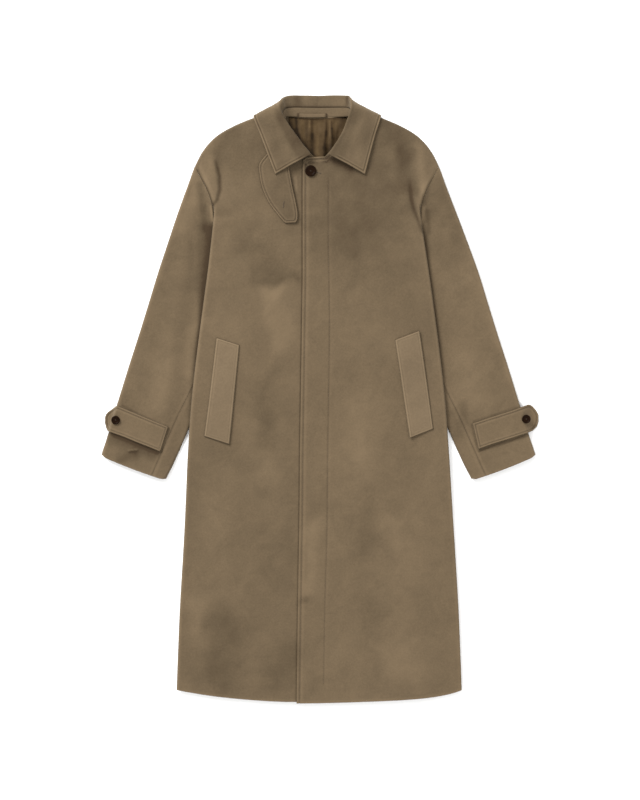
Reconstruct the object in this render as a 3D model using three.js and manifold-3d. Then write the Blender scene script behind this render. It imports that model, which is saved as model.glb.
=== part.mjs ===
// A long wool overcoat with a fly front, buttoned at the neck and laid out flat on its back.
// Millimetres, +Z up from the surface it lies on, collar towards +Y, wearer's left towards +X.
import * as THREE from "three";
import Module from "manifold-3d";
import { mergeVertices } from "three/addons/utils/BufferGeometryUtils.js";

// Walls and clearances.
const cloth = 2.2; // wool coating
const collarCloth = 2.6; // two plies with a thin interlining
const liningCloth = 1.0;
const weltCloth = 2.6; // turned welts, tabs and latch
const seamGap = 0.3;
const layGap = 0.4; // between a piece and the panel that it lies on

// How the coat lies.
const foldRadius = 4.5; // outside of a folded side or shoulder edge
const bodyLoft = 3.2; // how far the fronts stand above their folded edges
const tuckHeight = 6.2; // sleeve pressed flat under the body's side
const sideLift = 7.5; // body's underside where it lies over a tucked sleeve
const drape = 110; // width over which the body comes down from the sleeve to the floor
const collarLift = 4.4; // body's underside over the back of the collar
const centre = -3; // x of the coat's middle
const sleeveLoft = 4.2; // how far the sleeve's face stands above its folded edges
const capRows = 2; // rows over which the sleeve comes down from the armhole

// The panels' outline, a row for each level from the hem to the shoulder seam. The front's
// inner edge is its front edge and then its neckline, at its own x. The side is the fold and
// then the armhole, at x from the coat's middle.
const bodyRows = [
  { leftX: -43, leftY: -594, rightX: 8.5, rightY: -592, sideX: 277.5, sideY: -568, backY: -592 },
  { leftX: -42.4, leftY: -510, rightX: 9, rightY: -510, sideX: 275, sideY: -500, backY: -510 },
  { leftX: -41.7, leftY: -410, rightX: 9.6, rightY: -410, sideX: 271, sideY: -405, backY: -410 },
  { leftX: -41, leftY: -305, rightX: 10.2, rightY: -305, sideX: 265, sideY: -303, backY: -305 },
  { leftX: -39.8, leftY: -200, rightX: 11, rightY: -200, sideX: 259, sideY: -200, backY: -200 },
  { leftX: -38.4, leftY: -100, rightX: 11.8, rightY: -100, sideX: 253.5, sideY: -100, backY: -100 },
  { leftX: -37.6, leftY: 0, rightX: 12.4, rightY: 0, sideX: 246, sideY: 0, backY: 0 },
  { leftX: -37, leftY: 100, rightX: 13, rightY: 100, sideX: 234.5, sideY: 100, backY: 100 },
  { leftX: -36.4, leftY: 195, rightX: 13.6, rightY: 195, sideX: 222, sideY: 195, backY: 195 },
  { leftX: -35.1, leftY: 285, rightX: 14.7, rightY: 285, sideX: 210, sideY: 283, backY: 285 },
  { leftX: -32.7, leftY: 368, rightX: 16.5, rightY: 366, sideX: 201, sideY: 358, backY: 366 },
  { leftX: -31.6, leftY: 418, rightX: 17, rightY: 415, sideX: 204, sideY: 377, backY: 410 },
  { leftX: -31, leftY: 460, rightX: 17, rightY: 456, sideX: 208.5, sideY: 393, backY: 450 },
  { leftX: -14, leftY: 468, rightX: -1, rightY: 465, sideX: 214, sideY: 406.5, backY: 474 },
  { leftX: 10, leftY: 471, rightX: -10, rightY: 471, sideX: 220, sideY: 418, backY: 495 },
  { leftX: 40, leftY: 499, rightX: -40, rightY: 499, sideX: 225.5, sideY: 428, backY: 513 },
  { leftX: 57, leftY: 525, rightX: -57, rightY: 525, sideX: 230.5, sideY: 437.5, backY: 529 },
  { leftX: 65, leftY: 551, rightX: -65, rightY: 551, sideX: 235, sideY: 447, backY: 541.5 },
  { leftX: 65, leftY: 556, rightX: -65, rightY: 556, sideX: 237, sideY: 452.5, backY: 546 },
];
const underarmRow = 10; // where the side fold ends and the armhole begins
const cornerRow = 12; // where the front edge ends and the neckline begins

// The shoulder seam, from the neck point to the shoulder point, at x from the coat's middle.
const shoulderLine = [
  { x: 65, y: 556 },
  { x: 97, y: 552 },
  { x: 128, y: 545 },
  { x: 160, y: 533 },
  { x: 193, y: 514 },
  { x: 212, y: 495 },
  { x: 226, y: 475 },
  { x: 237, y: 452.5 },
];

// The sleeve's folded edges, a row for each level from the armhole to the cuff, at x from the
// coat's middle. The inner edge goes down outside the body's fold and then under the body.
const sleeveRows = [
  { outerX: 237, outerY: 452.5, innerX: 201, innerY: 358 },
  { outerX: 243, outerY: 437, innerX: 203.2, innerY: 345 },
  { outerX: 250, outerY: 417, innerX: 201, innerY: 324 },
  { outerX: 272, outerY: 358, innerX: 176, innerY: 288 },
  { outerX: 293, outerY: 299, innerX: 163, innerY: 242 },
  { outerX: 313, outerY: 241, innerX: 161, innerY: 190 },
  { outerX: 331, outerY: 182, innerX: 169, innerY: 138 },
  { outerX: 349, outerY: 124, innerX: 188, innerY: 80 },
  { outerX: 368, outerY: 65, innerX: 216, innerY: 15 },
  { outerX: 386, outerY: 7, innerX: 246, innerY: -46 },
  { outerX: 404, outerY: -52, innerX: 271, innerY: -103 },
  { outerX: 422.5, outerY: -113, innerX: 297, innerY: -160.5 },
];

// Collar sections from the centre back to the front point, x from the coat's middle: the neck
// seam, the top of the roll, the middle of the fall and its outer edge. The roll and the edge
// lean a little to one side.
const collarRows = [
  { neck: [0, 546.9, 9], roll: [0, 594, 9.6], mid: [0, 562, 0.1], edge: [0, 528, 0.1], lean: [3, 3] },
  { neck: [28, 547.7, 9.4], roll: [30, 594, 9.6], mid: [32, 562, 0.1], edge: [36, 528, 0.1], lean: [3, 3] },
  { neck: [47, 550.9, 12.2], roll: [54, 592, 12], mid: [62, 565, 0.1], edge: [76, 530, 0.1], lean: [2, 2] },
  { neck: [57, 554.5, 15], roll: [63, 586, 22], mid: [84, 567, 1.2], edge: [109, 536, 0.1], lean: [-3, -2] },
  { neck: [62, 555, 18], roll: [66, 577, 34], mid: [91.5, 567.6, 17], edge: [121.5, 554, 1.2], lean: [-4, -1] },
  { neck: [64, 545, 20], roll: [68, 563, 39], mid: [97, 556, 31], edge: [123.5, 545, 20], lean: [-6, -2.5] },
  { neck: [57, 525, 20], roll: [61, 543, 37], mid: [88, 527, 31], edge: [111.5, 509, 20], lean: [-5, -1] },
  { neck: [41, 500, 19], roll: [44, 512, 32], mid: [72, 494, 27], edge: [99.5, 472, 19], lean: [0, 1] },
  { neck: [16, 475, 19], roll: [16, 477, 27], mid: [53, 456, 23], edge: [87.3, 434.5, 17], lean: [3, 3.4] },
];

// The soft folds of the fronts: a ridge, or a trough where the height is negative.
const frontFolds = [
  { x: 201, y: 486, toX: 208, toY: 400, width: 13, height: 3.2 },
  { x: 176, y: 486, toX: 186, toY: 404, width: 13, height: -2.2 },
  { x: -207, y: 484, toX: -210, toY: 392, width: 13, height: 3.2 },
  { x: -184, y: 482, toX: -192, toY: 396, width: 12, height: -2.2 },
  { x: 95, y: 380, toX: 130, toY: 60, width: 46, height: 1.6 },
  { x: -110, y: 330, toX: -118, toY: 120, width: 42, height: 1.4 },
  { x: -105, y: -20, toX: -96, toY: -190, width: 34, height: -1.6 },
  { x: 110, y: -150, toX: 150, toY: -560, width: 48, height: 2.0 },
  { x: -160, y: -370, toX: -150, toY: -592, width: 40, height: -2.0 },
  { x: -215, y: -180, toX: -228, toY: -560, width: 26, height: 1.8 },
];

const mix = THREE.MathUtils.lerp;
const ease = THREE.MathUtils.smoothstep; // ease(value, low, high)
const bell = (t) => Math.exp(-t * t);

// Reads one column of a table at a value of its key column, on a smooth curve through the rows.
function read(table, key, column, at) {
  const last = table.length - 1;
  const rising = table[last][key] > table[0][key];
  let i = 0;
  while (i < last - 1 && (rising ? at > table[i + 1][key] : at < table[i + 1][key])) i++;
  const slope = (k) => {
    const a = table[Math.max(0, k - 1)];
    const b = table[Math.min(last, k + 1)];
    return (b[column] - a[column]) / (b[key] - a[key]);
  };
  const [a, b] = [table[i], table[i + 1]];
  const span = b[key] - a[key];
  const t = THREE.MathUtils.clamp((at - a[key]) / span, 0, 1);
  const [t2, t3] = [t * t, t * t * t];
  return (
    (2 * t3 - 3 * t2 + 1) * a[column] +
    (t3 - 2 * t2 + t) * slope(i) * span +
    (3 * t2 - 2 * t3) * b[column] +
    (t3 - t2) * slope(i + 1) * span
  );
}

// Reads a column at a fractional row number: curved through the rows, or straight between them.
const rowsOf = (table) => table.map((row, index) => ({ ...row, index }));
const bodyTable = rowsOf(bodyRows);
const sleeveTable = rowsOf(sleeveRows);
const curved = (table, column, at) => read(table, "index", column, at);
function straight(table, column, at) {
  const i = Math.min(Math.floor(at), table.length - 2);
  return mix(table[i][column], table[i + 1][column], at - i);
}

// Evenly spaced numbers from low to high, both included.
function spread(low, high, count) {
  return Array.from({ length: count }, (_, i) => mix(low, high, i / (count - 1)));
}

// A closed solid from a grid of points on the face that shows. The other face lies behind it,
// at the cloth's thickness along the grid's own normals.
function clothSolid(grid, thickness) {
  const rows = grid.length;
  const columns = grid[0].length;
  const positions = [];
  const push = (p) => positions.push(p.x, p.y, p.z);
  grid.flat().forEach(push);
  for (let j = 0; j < rows; j++)
    for (let i = 0; i < columns; i++) {
      const across = grid[j][Math.min(i + 1, columns - 1)].clone().sub(grid[j][Math.max(i - 1, 0)]);
      const along = grid[Math.min(j + 1, rows - 1)][i].clone().sub(grid[Math.max(j - 1, 0)][i]);
      const normal = across.cross(along).normalize();
      push(grid[j][i].clone().addScaledVector(normal, -thickness));
    }
  return closedGrid(positions, rows, columns);
}

// A closed solid from two equal grids of points, one over the other.
function layeredSolid(top, bottom) {
  const positions = [top, bottom].flatMap((grid) => grid.flat().flatMap((p) => [p.x, p.y, p.z]));
  return closedGrid(positions, top.length, top[0].length);
}

function closedGrid(positions, rows, columns) {
  const faces = [];
  const hidden = rows * columns;
  const at = (j, i) => j * columns + i;
  const quad = (a, b, c, d) => faces.push(a, b, c, a, c, d);
  for (let j = 0; j < rows - 1; j++)
    for (let i = 0; i < columns - 1; i++) {
      quad(at(j, i), at(j, i + 1), at(j + 1, i + 1), at(j + 1, i));
      quad(hidden + at(j, i), hidden + at(j + 1, i), hidden + at(j + 1, i + 1), hidden + at(j, i + 1));
    }
  const rim = [];
  for (let i = 0; i < columns - 1; i++) rim.push(at(0, i));
  for (let j = 0; j < rows - 1; j++) rim.push(at(j, columns - 1));
  for (let i = columns - 1; i > 0; i--) rim.push(at(rows - 1, i));
  for (let j = rows - 1; j > 0; j--) rim.push(at(j, 0));
  rim.forEach((a, k) => {
    const b = rim[(k + 1) % rim.length];
    quad(a, hidden + a, hidden + b, b);
  });
  const geometry = new THREE.BufferGeometry();
  geometry.setAttribute("position", new THREE.Float32BufferAttribute(positions, 3));
  geometry.setIndex(faces);
  geometry.computeVertexNormals();
  return geometry;
}

// The height of the highest point of some meshes over a place, or null where there is none.
function topOf(meshes, x, y) {
  let best = null;
  for (const mesh of meshes) {
    const position = mesh.geometry.getAttribute("position");
    const index = mesh.geometry.index;
    for (let f = 0; f < index.count; f += 3) {
      const [a, b, c] = [index.getX(f), index.getX(f + 1), index.getX(f + 2)];
      const [ax, ay] = [position.getX(a), position.getY(a)];
      const [bx, by] = [position.getX(b) - ax, position.getY(b) - ay];
      const [cx, cy] = [position.getX(c) - ax, position.getY(c) - ay];
      const area = bx * cy - by * cx;
      if (Math.abs(area) < 1e-6) continue;
      const u = ((x - ax) * cy - (y - ay) * cx) / area;
      const v = (bx * (y - ay) - by * (x - ax)) / area;
      if (u < 0 || v < 0 || u + v > 1) continue;
      const z = position.getZ(a) * (1 - u - v) + position.getZ(b) * u + position.getZ(c) * v;
      if (best === null || z > best) best = z;
    }
  }
  return best;
}

// The highest point of some meshes in a small neighbourhood of a place.
function topNear(meshes, x, y, reach = 4) {
  const around = [[0, 0], [reach, 0], [-reach, 0], [0, reach], [0, -reach]];
  const heights = around.map(([dx, dy]) => topOf(meshes, x + dx, y + dy)).filter((z) => z !== null);
  return heights.length ? Math.max(...heights) : null;
}

// The underside of the body: on the floor, over the tucked sleeves and over the collar's back.
const sleeveInnerEdge = [...sleeveRows.map((r) => ({ x: r.innerX, y: r.innerY })), { x: 345, y: -260 }];
function bodyFloor(x, y) {
  const inner = read(sleeveInnerEdge, "y", "x", y) - 10;
  const overSleeve = sideLift * ease(fromMiddle(x), inner - drape, inner) * (1 - ease(y, 374, 440));
  const overCollar = collarLift * ease(y, 462, 520) * (1 - ease(fromMiddle(x), 122, 150));
  return overSleeve + overCollar;
}

// The coat doesn't lie quite straight: below the waist and above the chest it lies to one side.
const sway = (y) => 1.6 * (1 - ease(y, -300, -60)) - 3 * ease(y, 220, 420);
const sideEdge = (y) => read(bodyRows.slice(0, underarmRow + 1), "sideY", "sideX", y);
const fromMiddle = (x) => Math.abs(x - centre);

function foldHeight(fold, x, y) {
  const along = new THREE.Vector2(fold.toX - fold.x, fold.toY - fold.y);
  const offset = new THREE.Vector2(x - fold.x, y - fold.y);
  const share = THREE.MathUtils.clamp(offset.dot(along) / along.lengthSq(), 0, 1);
  return fold.height * bell(offset.addScaledVector(along, -share).length() / fold.width);
}

// The coat's thickness from its underside to the top of the fronts, away from its edges.
function bodyThickness(x, y) {
  const inset = sideEdge(y) - fromMiddle(x);
  const underarm = bodyRows[underarmRow].sideY;
  const loft = bodyLoft * mix(ease(inset, 6, 90), 1, ease(y, underarm - 8, underarm + 14));
  const folds = frontFolds.reduce((sum, fold) => sum + foldHeight(fold, x, y), 0);
  return 2 * foldRadius + loft + folds;
}

// The share of the full height left at a place on a rounded fold; 0 is its outer edge.
const roundShare = (place) => Math.sqrt(Math.max(0, 1 - place * place));
const foldPlaces = [0, 0.5, 0.86, 1]; // from the flat to the fold's edge

// Columns of a panel from its inner edge to its side, closer in the side's fold.
const columnAt = (share) => ({ share, place: 0 });
const foldColumns = foldPlaces.map((place) => ({ share: 1, place }));
const frontColumns = [...spread(0, 1, 10).slice(0, -1).map(columnAt), ...foldColumns];

// The back's columns meet the front's along the shoulder.
const neckShare = shoulderLine[0].x / (shoulderLine.at(-1).x - foldRadius);
const halfBack = [
  ...spread(0, neckShare, 4).slice(0, -1).map(columnAt),
  ...spread(neckShare, 1, 10).slice(0, -1).map(columnAt),
  ...foldColumns,
];
const backColumns = [
  ...halfBack.slice(1).reverse().map((column) => ({ ...column, side: -1 })),
  ...halfBack.map((column) => ({ ...column, side: 1 })),
];

// Levels of a panel from its hem to the shoulder seam, closer in the shoulder's fold.
const shoulderRow = bodyRows.length - 2;
const panelLevels = [
  ...spread(0, underarmRow - 1, underarmRow).map((at) => ({ at, place: 0 })),
  { at: underarmRow - 0.5, place: 0 },
  { at: underarmRow, place: 0 },
  { at: underarmRow + 0.5, place: 0 },
  ...spread(underarmRow + 1, shoulderRow, shoulderRow - underarmRow).map((at) => ({ at, place: 0 })),
  ...foldPlaces.slice(1).map((place) => ({ at: shoulderRow + place, place })),
];

// How far the side's fold is closed at a level: fully up to the underarm, open in the armhole.
const foldClosed = (at) => 1 - ease(at, underarmRow, underarmRow + 1.6);

// Both faces of a panel of cloth: the one that shows, and the one behind it at the cloth's
// thickness, which keeps inside the first round a fold.
function panelSolid(pointAt, columns, flipped) {
  const face = (depth) =>
    panelLevels.map((level) => {
      const row = columns.map((column) => pointAt(level, column, depth));
      return flipped ? row.reverse() : row;
    });
  return layeredSolid(face(0), face(cloth));
}

// Where a panel's inner face stands on a rounded fold, as a share of the outer face's radius.
const reachOf = (depth) => 1 - depth / foldRadius;
const levelOf = (level, depth) => level.at - level.place * (1 - reachOf(depth));

// The plan of a panel's point, at x from the coat's middle. Rows run straight across below the
// armhole, and above it they bend by steps into the shoulder's line.
function panelPlan(inX, inY, neckX, neckY, level, column, depth) {
  const at = levelOf(level, depth);
  const outX = curved(bodyTable, "sideX", at);
  const outY = curved(bodyTable, "sideY", at);
  const reach = mix(1, reachOf(depth), foldClosed(at));
  const x = column.share === 1
    ? outX - foldRadius * (1 - column.place * reach)
    : mix(inX, outX - foldRadius, column.share);
  const share = Math.max(0, (x - neckX) / (outX - neckX));
  const topX = mix(shoulderLine[0].x, shoulderLine.at(-1).x, share);
  const span = shoulderLine[0].y - shoulderLine.at(-1).y;
  const topLine = (read(shoulderLine, "x", "y", topX) - shoulderLine.at(-1).y) / span;
  const neckLine = mix(inY, neckY, Math.min(1, (x - inX) / (neckX - inX || 1)) ** 3);
  const bent = share > 0 ? mix(outY, neckY, topLine) : neckLine;
  const sweep = mix(inY, outY, ((x - inX) / (outX - inX)) ** 3);
  return { x, y: mix(sweep, bent, ease(at, cornerRow - 1, shoulderRow)) };
}

// How much of its full height a panel has at a point: less round its folds.
function roundAt(level, column, depth) {
  const closed = foldClosed(levelOf(level, depth));
  return mix(1, roundShare(column.place), closed) * roundShare(level.place);
}

function frontPoint(side, level, column, depth) {
  const prefix = side > 0 ? "left" : "right";
  const at = levelOf(level, depth);
  const inX = side * (straight(bodyTable, prefix + "X", at) - centre);
  const inY = straight(bodyTable, prefix + "Y", at);
  const plan = panelPlan(inX, inY, inX, inY, level, column, depth);
  const x = centre + side * plan.x;
  const under = side > 0 ? 0 : (cloth + 2 * seamGap) * ease(x, -78, -44);
  const middle = foldRadius + seamGap / 2;
  const height = bodyThickness(x, plan.y) - under - depth - middle;
  const z = bodyFloor(x, plan.y) + middle + height * roundAt(level, column, depth);
  return new THREE.Vector3(x + sway(plan.y), plan.y, z);
}

function backPoint(side, level, column, depth) {
  const inY = straight(bodyTable, "backY", levelOf(level, depth));
  const neckY = inY + shoulderLine[0].y - bodyRows.at(-1).backY;
  const plan = panelPlan(0, inY, shoulderLine[0].x, neckY, level, column, depth);
  const x = centre + side * plan.x;
  const middle = foldRadius - seamGap / 2;
  const z = bodyFloor(x, plan.y) + middle - (middle - depth) * roundAt(level, column, depth);
  return new THREE.Vector3(x + sway(plan.y), plan.y, z);
}

// One front, from its front edge to its side seam.
const frontPanel = (side) =>
  panelSolid((level, column, depth) => frontPoint(side, level, column, depth), frontColumns, side < 0);

// The back, in one piece from side seam to side seam. It shows its underside.
const backPanel = () =>
  panelSolid((level, column, depth) => backPoint(column.side, level, column, depth), backColumns, true);

// The sleeve's columns, from its outer fold to its inner one. Each starts at a level of the
// armhole. The forearm seam is on the face, a little way in from the inner fold.
const forearmInset = 30;
const hemRow = sleeveRows.length - 1;
const hemBow = 3; // how far the cuff's hem bows out
const armholeLevels = panelLevels.filter((level) => level.at >= underarmRow).reverse();
const sleeveColumns = [
  { fold: "outer", place: 1 },
  { fold: "outer", place: foldPlaces[2] },
  { fold: "outer", place: foldPlaces[1] },
  { fold: "outer", place: 0 },
  { share: 0.25 },
  { share: 0.5 },
  { share: 0.75 },
  { share: 1 },
  { fold: "inner", place: 0 },
  { fold: "inner", place: foldPlaces[1] },
  { fold: "inner", place: foldPlaces[2] },
  { fold: "inner", place: 1 },
].map((column, index) => ({ ...column, level: armholeLevels[index] }));
const forearmColumn = 7;
const armholeEdge = foldColumns.at(-1);

// The sleeve's full height at a place: pressed flat where the body lies on it.
function sleeveHeight(fromCentre, y) {
  const edge = y > bodyRows[underarmRow].sideY ? -Infinity : sideEdge(y);
  return mix(tuckHeight, 2 * foldRadius + sleeveLoft, ease(fromCentre - edge, 14, 54));
}

// A point of the sleeve's first row, a seam's gap outside the body's armhole edge. At the
// underarm its inner face keeps inside the fold.
function armholePoint(side, column, upper, depth) {
  const edgeOf = upper ? frontPoint : backPoint;
  const [low, high] = [bodyRows[underarmRow], bodyRows[underarmRow + 1]];
  const rowLength = Math.hypot(high.sideX - low.sideX, high.sideY - low.sideY);
  const shift = column.fold === "inner" ? (depth * column.place) / rowLength : 0;
  const level = { at: column.level.at + shift, place: column.level.place };
  const outline = edgeOf(side, { at: levelOf(level, depth), place: 0 }, armholeEdge, 0);
  const end = bodyRows.at(-1);
  const out = new THREE.Vector2(end.sideY - low.sideY, low.sideX - end.sideX).setLength(1.2 * seamGap);
  const z = edgeOf(side, level, armholeEdge, depth).z;
  return new THREE.Vector3(outline.x + side * out.x, outline.y + out.y, z);
}

// A point of the sleeve, on its upper or under face.
function sleevePoint(side, row, column, upper, depth) {
  const outer = new THREE.Vector2(curved(sleeveTable, "outerX", row), curved(sleeveTable, "outerY", row));
  const inner = new THREE.Vector2(curved(sleeveTable, "innerX", row), curved(sleeveTable, "innerY", row));
  const width = outer.distanceTo(inner);
  const turn = foldRadius * (1 - (column.place ?? 0) * reachOf(depth));
  let along = mix(foldRadius, width - forearmInset, column.share ?? 0);
  if (column.fold === "outer") along = turn;
  if (column.fold === "inner") along = width - turn;
  const plan = outer.clone().lerp(inner, along / width);
  const bow = 4 * (along / width) * (1 - along / width) * ease(row, hemRow - 1, hemRow);
  plan.y -= hemBow * bow;
  const height = sleeveHeight(plan.x, plan.y);
  const middle = height / 2 + (column.fold === "outer" ? (upper ? seamGap : -seamGap) / 2 : 0);
  const round = roundShare(column.place ?? 0);
  const lift = upper ? (height - depth - middle) * round : (depth - middle) * round;
  const point = new THREE.Vector3(centre + side * plan.x + sway(plan.y), plan.y, middle + lift);
  if (row >= capRows) return point;
  return armholePoint(side, column, upper, depth).lerp(point, ease(row, 0, capRows));
}

const sleeveLevels = spread(0, sleeveRows.length - 1, sleeveRows.length);

function sleeveSolid(side, columns) {
  const face = (depth) =>
    sleeveLevels.map((row) => {
      const points = columns.map(({ column, upper, shift }) => {
        const point = sleevePoint(side, row, column, upper, depth);
        point.x += side * shift;
        return point;
      });
      return side < 0 ? points.reverse() : points;
    });
  return layeredSolid(face(0), face(cloth));
}

// The upper sleeve, from the outer fold over the face to the forearm seam.
function upperSleeve(side) {
  const columns = sleeveColumns.slice(0, forearmColumn + 1).map((column, index) => ({
    column,
    upper: true,
    shift: index === forearmColumn ? seamGap / 2 : 0,
  }));
  return sleeveSolid(side, columns);
}

// The under sleeve, from the outer fold across the underside, round the inner fold and back up
// to the forearm seam.
function underSleeve(side) {
  const below = sleeveColumns.map((column) => ({ column, upper: false, shift: 0 }));
  const above = sleeveColumns.slice(forearmColumn, -1).map((column, index) => ({
    column,
    upper: true,
    shift: index === 0 ? -seamGap / 2 : 0,
  }));
  return sleeveSolid(side, [...above, ...below.reverse()]);
}

// The collar stands at the neck seam, turns over along its roll and falls to its outer edge.
const standShare = 0.5; // the stand's share of the way from the neck seam to the roll
const collarTable = rowsOf(collarRows).map((row) => ({
  index: row.index,
  rollLean: row.lean[0],
  edgeLean: row.lean[1],
  ...Object.fromEntries(["neck", "roll", "mid", "edge"].flatMap((name) =>
    row[name].map((value, axis) => [name + "xyz"[axis], value]))),
}));

const leanShare = { neck: 0, roll: 0, mid: 0.5, edge: 1 }; // from the roll's lean to the edge's
function collarAt(row, name, side) {
  const [x, y, z] = ["x", "y", "z"].map((axis) => curved(collarTable, name + axis, row));
  const [rollLean, edgeLean] = ["rollLean", "edgeLean"].map((lean) => curved(collarTable, lean, row));
  const lean = mix(rollLean, edgeLean, leanShare[name]);
  return new THREE.Vector3(centre + (name === "neck" ? 0 : lean) + side * x, y, Math.max(z, 0));
}

// Half-row steps from the left front point round the back to the right one.
const lastCollarRow = collarRows.length - 1;
const collarStations = spread(lastCollarRow, -lastCollarRow, 4 * lastCollarRow + 1)
  .map((value) => ({ row: Math.abs(value), side: Math.sign(value) || 1 }));

function collarCurve({ row, side }) {
  const names = ["neck", "roll", "mid", "edge"];
  const [neck, roll, mid, edge] = names.map((name) => collarAt(row, name, side));
  return { neck, seam: neck.clone().lerp(roll, standShare), roll, mid, edge };
}

function collarStand() {
  const grid = collarStations.map((station) => {
    const { neck, seam } = collarCurve(station);
    const top = seam.clone().lerp(neck, (1.8 * seamGap) / seam.distanceTo(neck));
    return [0, 0.5, 1].map((share) => neck.clone().lerp(top, share));
  });
  return clothSolid(grid, collarCloth);
}

const shoulderStation = 4; // where the fall passes over the shoulder's edge

// The roll turns over a small round between the stand's line and the fall's.
function collarFall(beneath) {
  const rest = (p) => {
    const top = topNear(beneath, p.x, p.y);
    if (top !== null) p.z = Math.max(p.z, top + layGap + collarCloth);
    return p;
  };
  const grid = collarStations.map((station) => {
    const { seam, roll, mid, edge } = collarCurve(station);
    const turn = new THREE.QuadraticBezierCurve3(
      roll.clone().lerp(seam, 0.3),
      roll.clone().addScaledVector(roll.clone().sub(seam), 0.12),
      roll.clone().lerp(mid, 0.24).add(new THREE.Vector3(0, 0, (mid.z - roll.z) * 0.18)),
    );
    const rolled = turn.getPoints(4);
    const fall = [0.35, 0.7].map((share) => rolled.at(-1).clone().lerp(mid, share));
    const wing = [0, 0.5, 1].map((share) => mid.clone().lerp(edge, share));
    if (station.row > shoulderStation) wing.forEach(rest);
    return [seam, ...rolled, ...fall, ...wing];
  });
  return clothSolid(grid, collarCloth);
}

// A small piece on a panel, from pairs of edge points along it: it lies on what is beneath.
const droop = 0.1; // from point to point, where it sticks out past an edge
function laidPiece(pairs, across, along, thickness, beneath, lift = 0, reach = 6) {
  const table = rowsOf(pairs);
  let level = 0;
  const grid = spread(0, pairs.length - 1, along).map((row) => {
    const low = new THREE.Vector3(curved(table, "lowX", row), curved(table, "lowY", row), 0);
    const top = new THREE.Vector3(curved(table, "topX", row), curved(table, "topY", row), 0);
    return spread(0, 1, across).map((share) => {
      const p = low.clone().lerp(top, share);
      level = Math.max(topNear(beneath, p.x, p.y, reach) ?? 0, level - droop);
      p.z = level + layGap + thickness + lift * Math.sin(Math.PI * share) * 0.5;
      return p;
    });
  });
  const under = grid.map((line) => line.map((p) => p.clone().setZ(p.z - thickness)));
  if (!facesUp(grid)) [...grid, ...under].forEach((line) => line.reverse());
  return layeredSolid(grid, under);
}

function facesUp(grid) {
  const across = grid[0].at(-1).clone().sub(grid[0][0]);
  const along = grid.at(-1)[0].clone().sub(grid[0][0]);
  return across.cross(along).z > 0;
}

// The lining where the neck shows it: gathered a little below the collar.
const liningRows = { topY: 540.5, lowY: 440, leftX: -60, rightX: 54 };
const gathers = [
  { x: -52, width: 5, height: 1.6 },
  { x: -37, width: 5, height: 2.2 },
  { x: -18, width: 5, height: 2.4 },
  { x: 2, width: 6, height: 2.0 },
  { x: 12, width: 5, height: 2.4 },
  { x: 24, width: 5, height: 2.2 },
  { x: 42, width: 6, height: 1.8 },
];
function backLining(beneath) {
  const columns = spread(liningRows.leftX, liningRows.rightX, 33);
  const grid = spread(liningRows.lowY, liningRows.topY, 8).map((y) =>
    columns.map((x) => {
      const fullness = 1 - 0.75 * ease(y, 500, liningRows.topY);
      const gather = gathers.reduce((sum, g) => sum + g.height * bell((x - g.x) / g.width), 0);
      const floor = topNear(beneath, x, Math.min(y, 534));
      return new THREE.Vector3(x, y, floor + layGap + liningCloth + gather * fullness);
    }));
  const under = grid.map((line) => line.map((p) => p.clone().setZ(p.z - liningCloth)));
  return layeredSolid(grid, under);
}

// The hanger loop: a narrow band, sewn down at both ends and bowed up between them.
const loop = { leftX: -43, rightX: 14, y: 549.5, width: 7, bow: 3.4, thickness: 1.4, dip: 4 };
function hangerLoop(beneath) {
  const grid = spread(0, 1, 13).map((share) => {
    const bow = Math.sin(Math.PI * share);
    const x = mix(loop.leftX, loop.rightX, share);
    const y = loop.y - loop.dip * bow;
    const base = Math.max(topNear(beneath, x, y), topNear(beneath, x, y + loop.width));
    const z = base + layGap + loop.thickness + loop.bow * bow;
    return [1, 0.5, 0].map((up) => new THREE.Vector3(x, y + up * loop.width, z));
  });
  const under = grid.map((line) => line.map((p) => p.clone().setZ(p.z - loop.thickness)));
  return layeredSolid(grid, under);
}

// The throat latch on the right front, from under the collar down to its rounded tip.
const latchRows = [
  { lowX: -113, lowY: 478, topX: -66, topY: 468 },
  { lowX: -118, lowY: 455, topX: -60.5, topY: 450 },
  { lowX: -117.5, lowY: 432, topX: -56.5, topY: 428 },
  { lowX: -112.5, lowY: 408, topX: -51.5, topY: 403 },
  { lowX: -100, lowY: 380, topX: -46, topY: 378 },
  { lowX: -83, lowY: 357, topX: -43, topY: 358 },
  { lowX: -72, lowY: 344, topX: -44, topY: 346 },
  { lowX: -67, lowY: 339.5, topX: -47, topY: 340.5 },
];

// The slanted welts of the two hand pockets.
const weltRows = {
  left: [
    { lowX: 145.5, lowY: 113, topX: 193, topY: 131 },
    { lowX: 155.5, lowY: 48, topX: 202.5, topY: 67 },
    { lowX: 165, lowY: -16, topX: 211.5, topY: 3 },
    { lowX: 174.5, lowY: -78.5, topX: 220, topY: -60.5 },
  ],
  right: [
    { lowX: -199.5, lowY: 117, topX: -154.5, topY: 100.5 },
    { lowX: -208, lowY: 53, topX: -162, topY: 37 },
    { lowX: -216, lowY: -11, topX: -169, topY: -27 },
    { lowX: -224.5, lowY: -75, topX: -176.5, topY: -91 },
  ],
};

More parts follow.
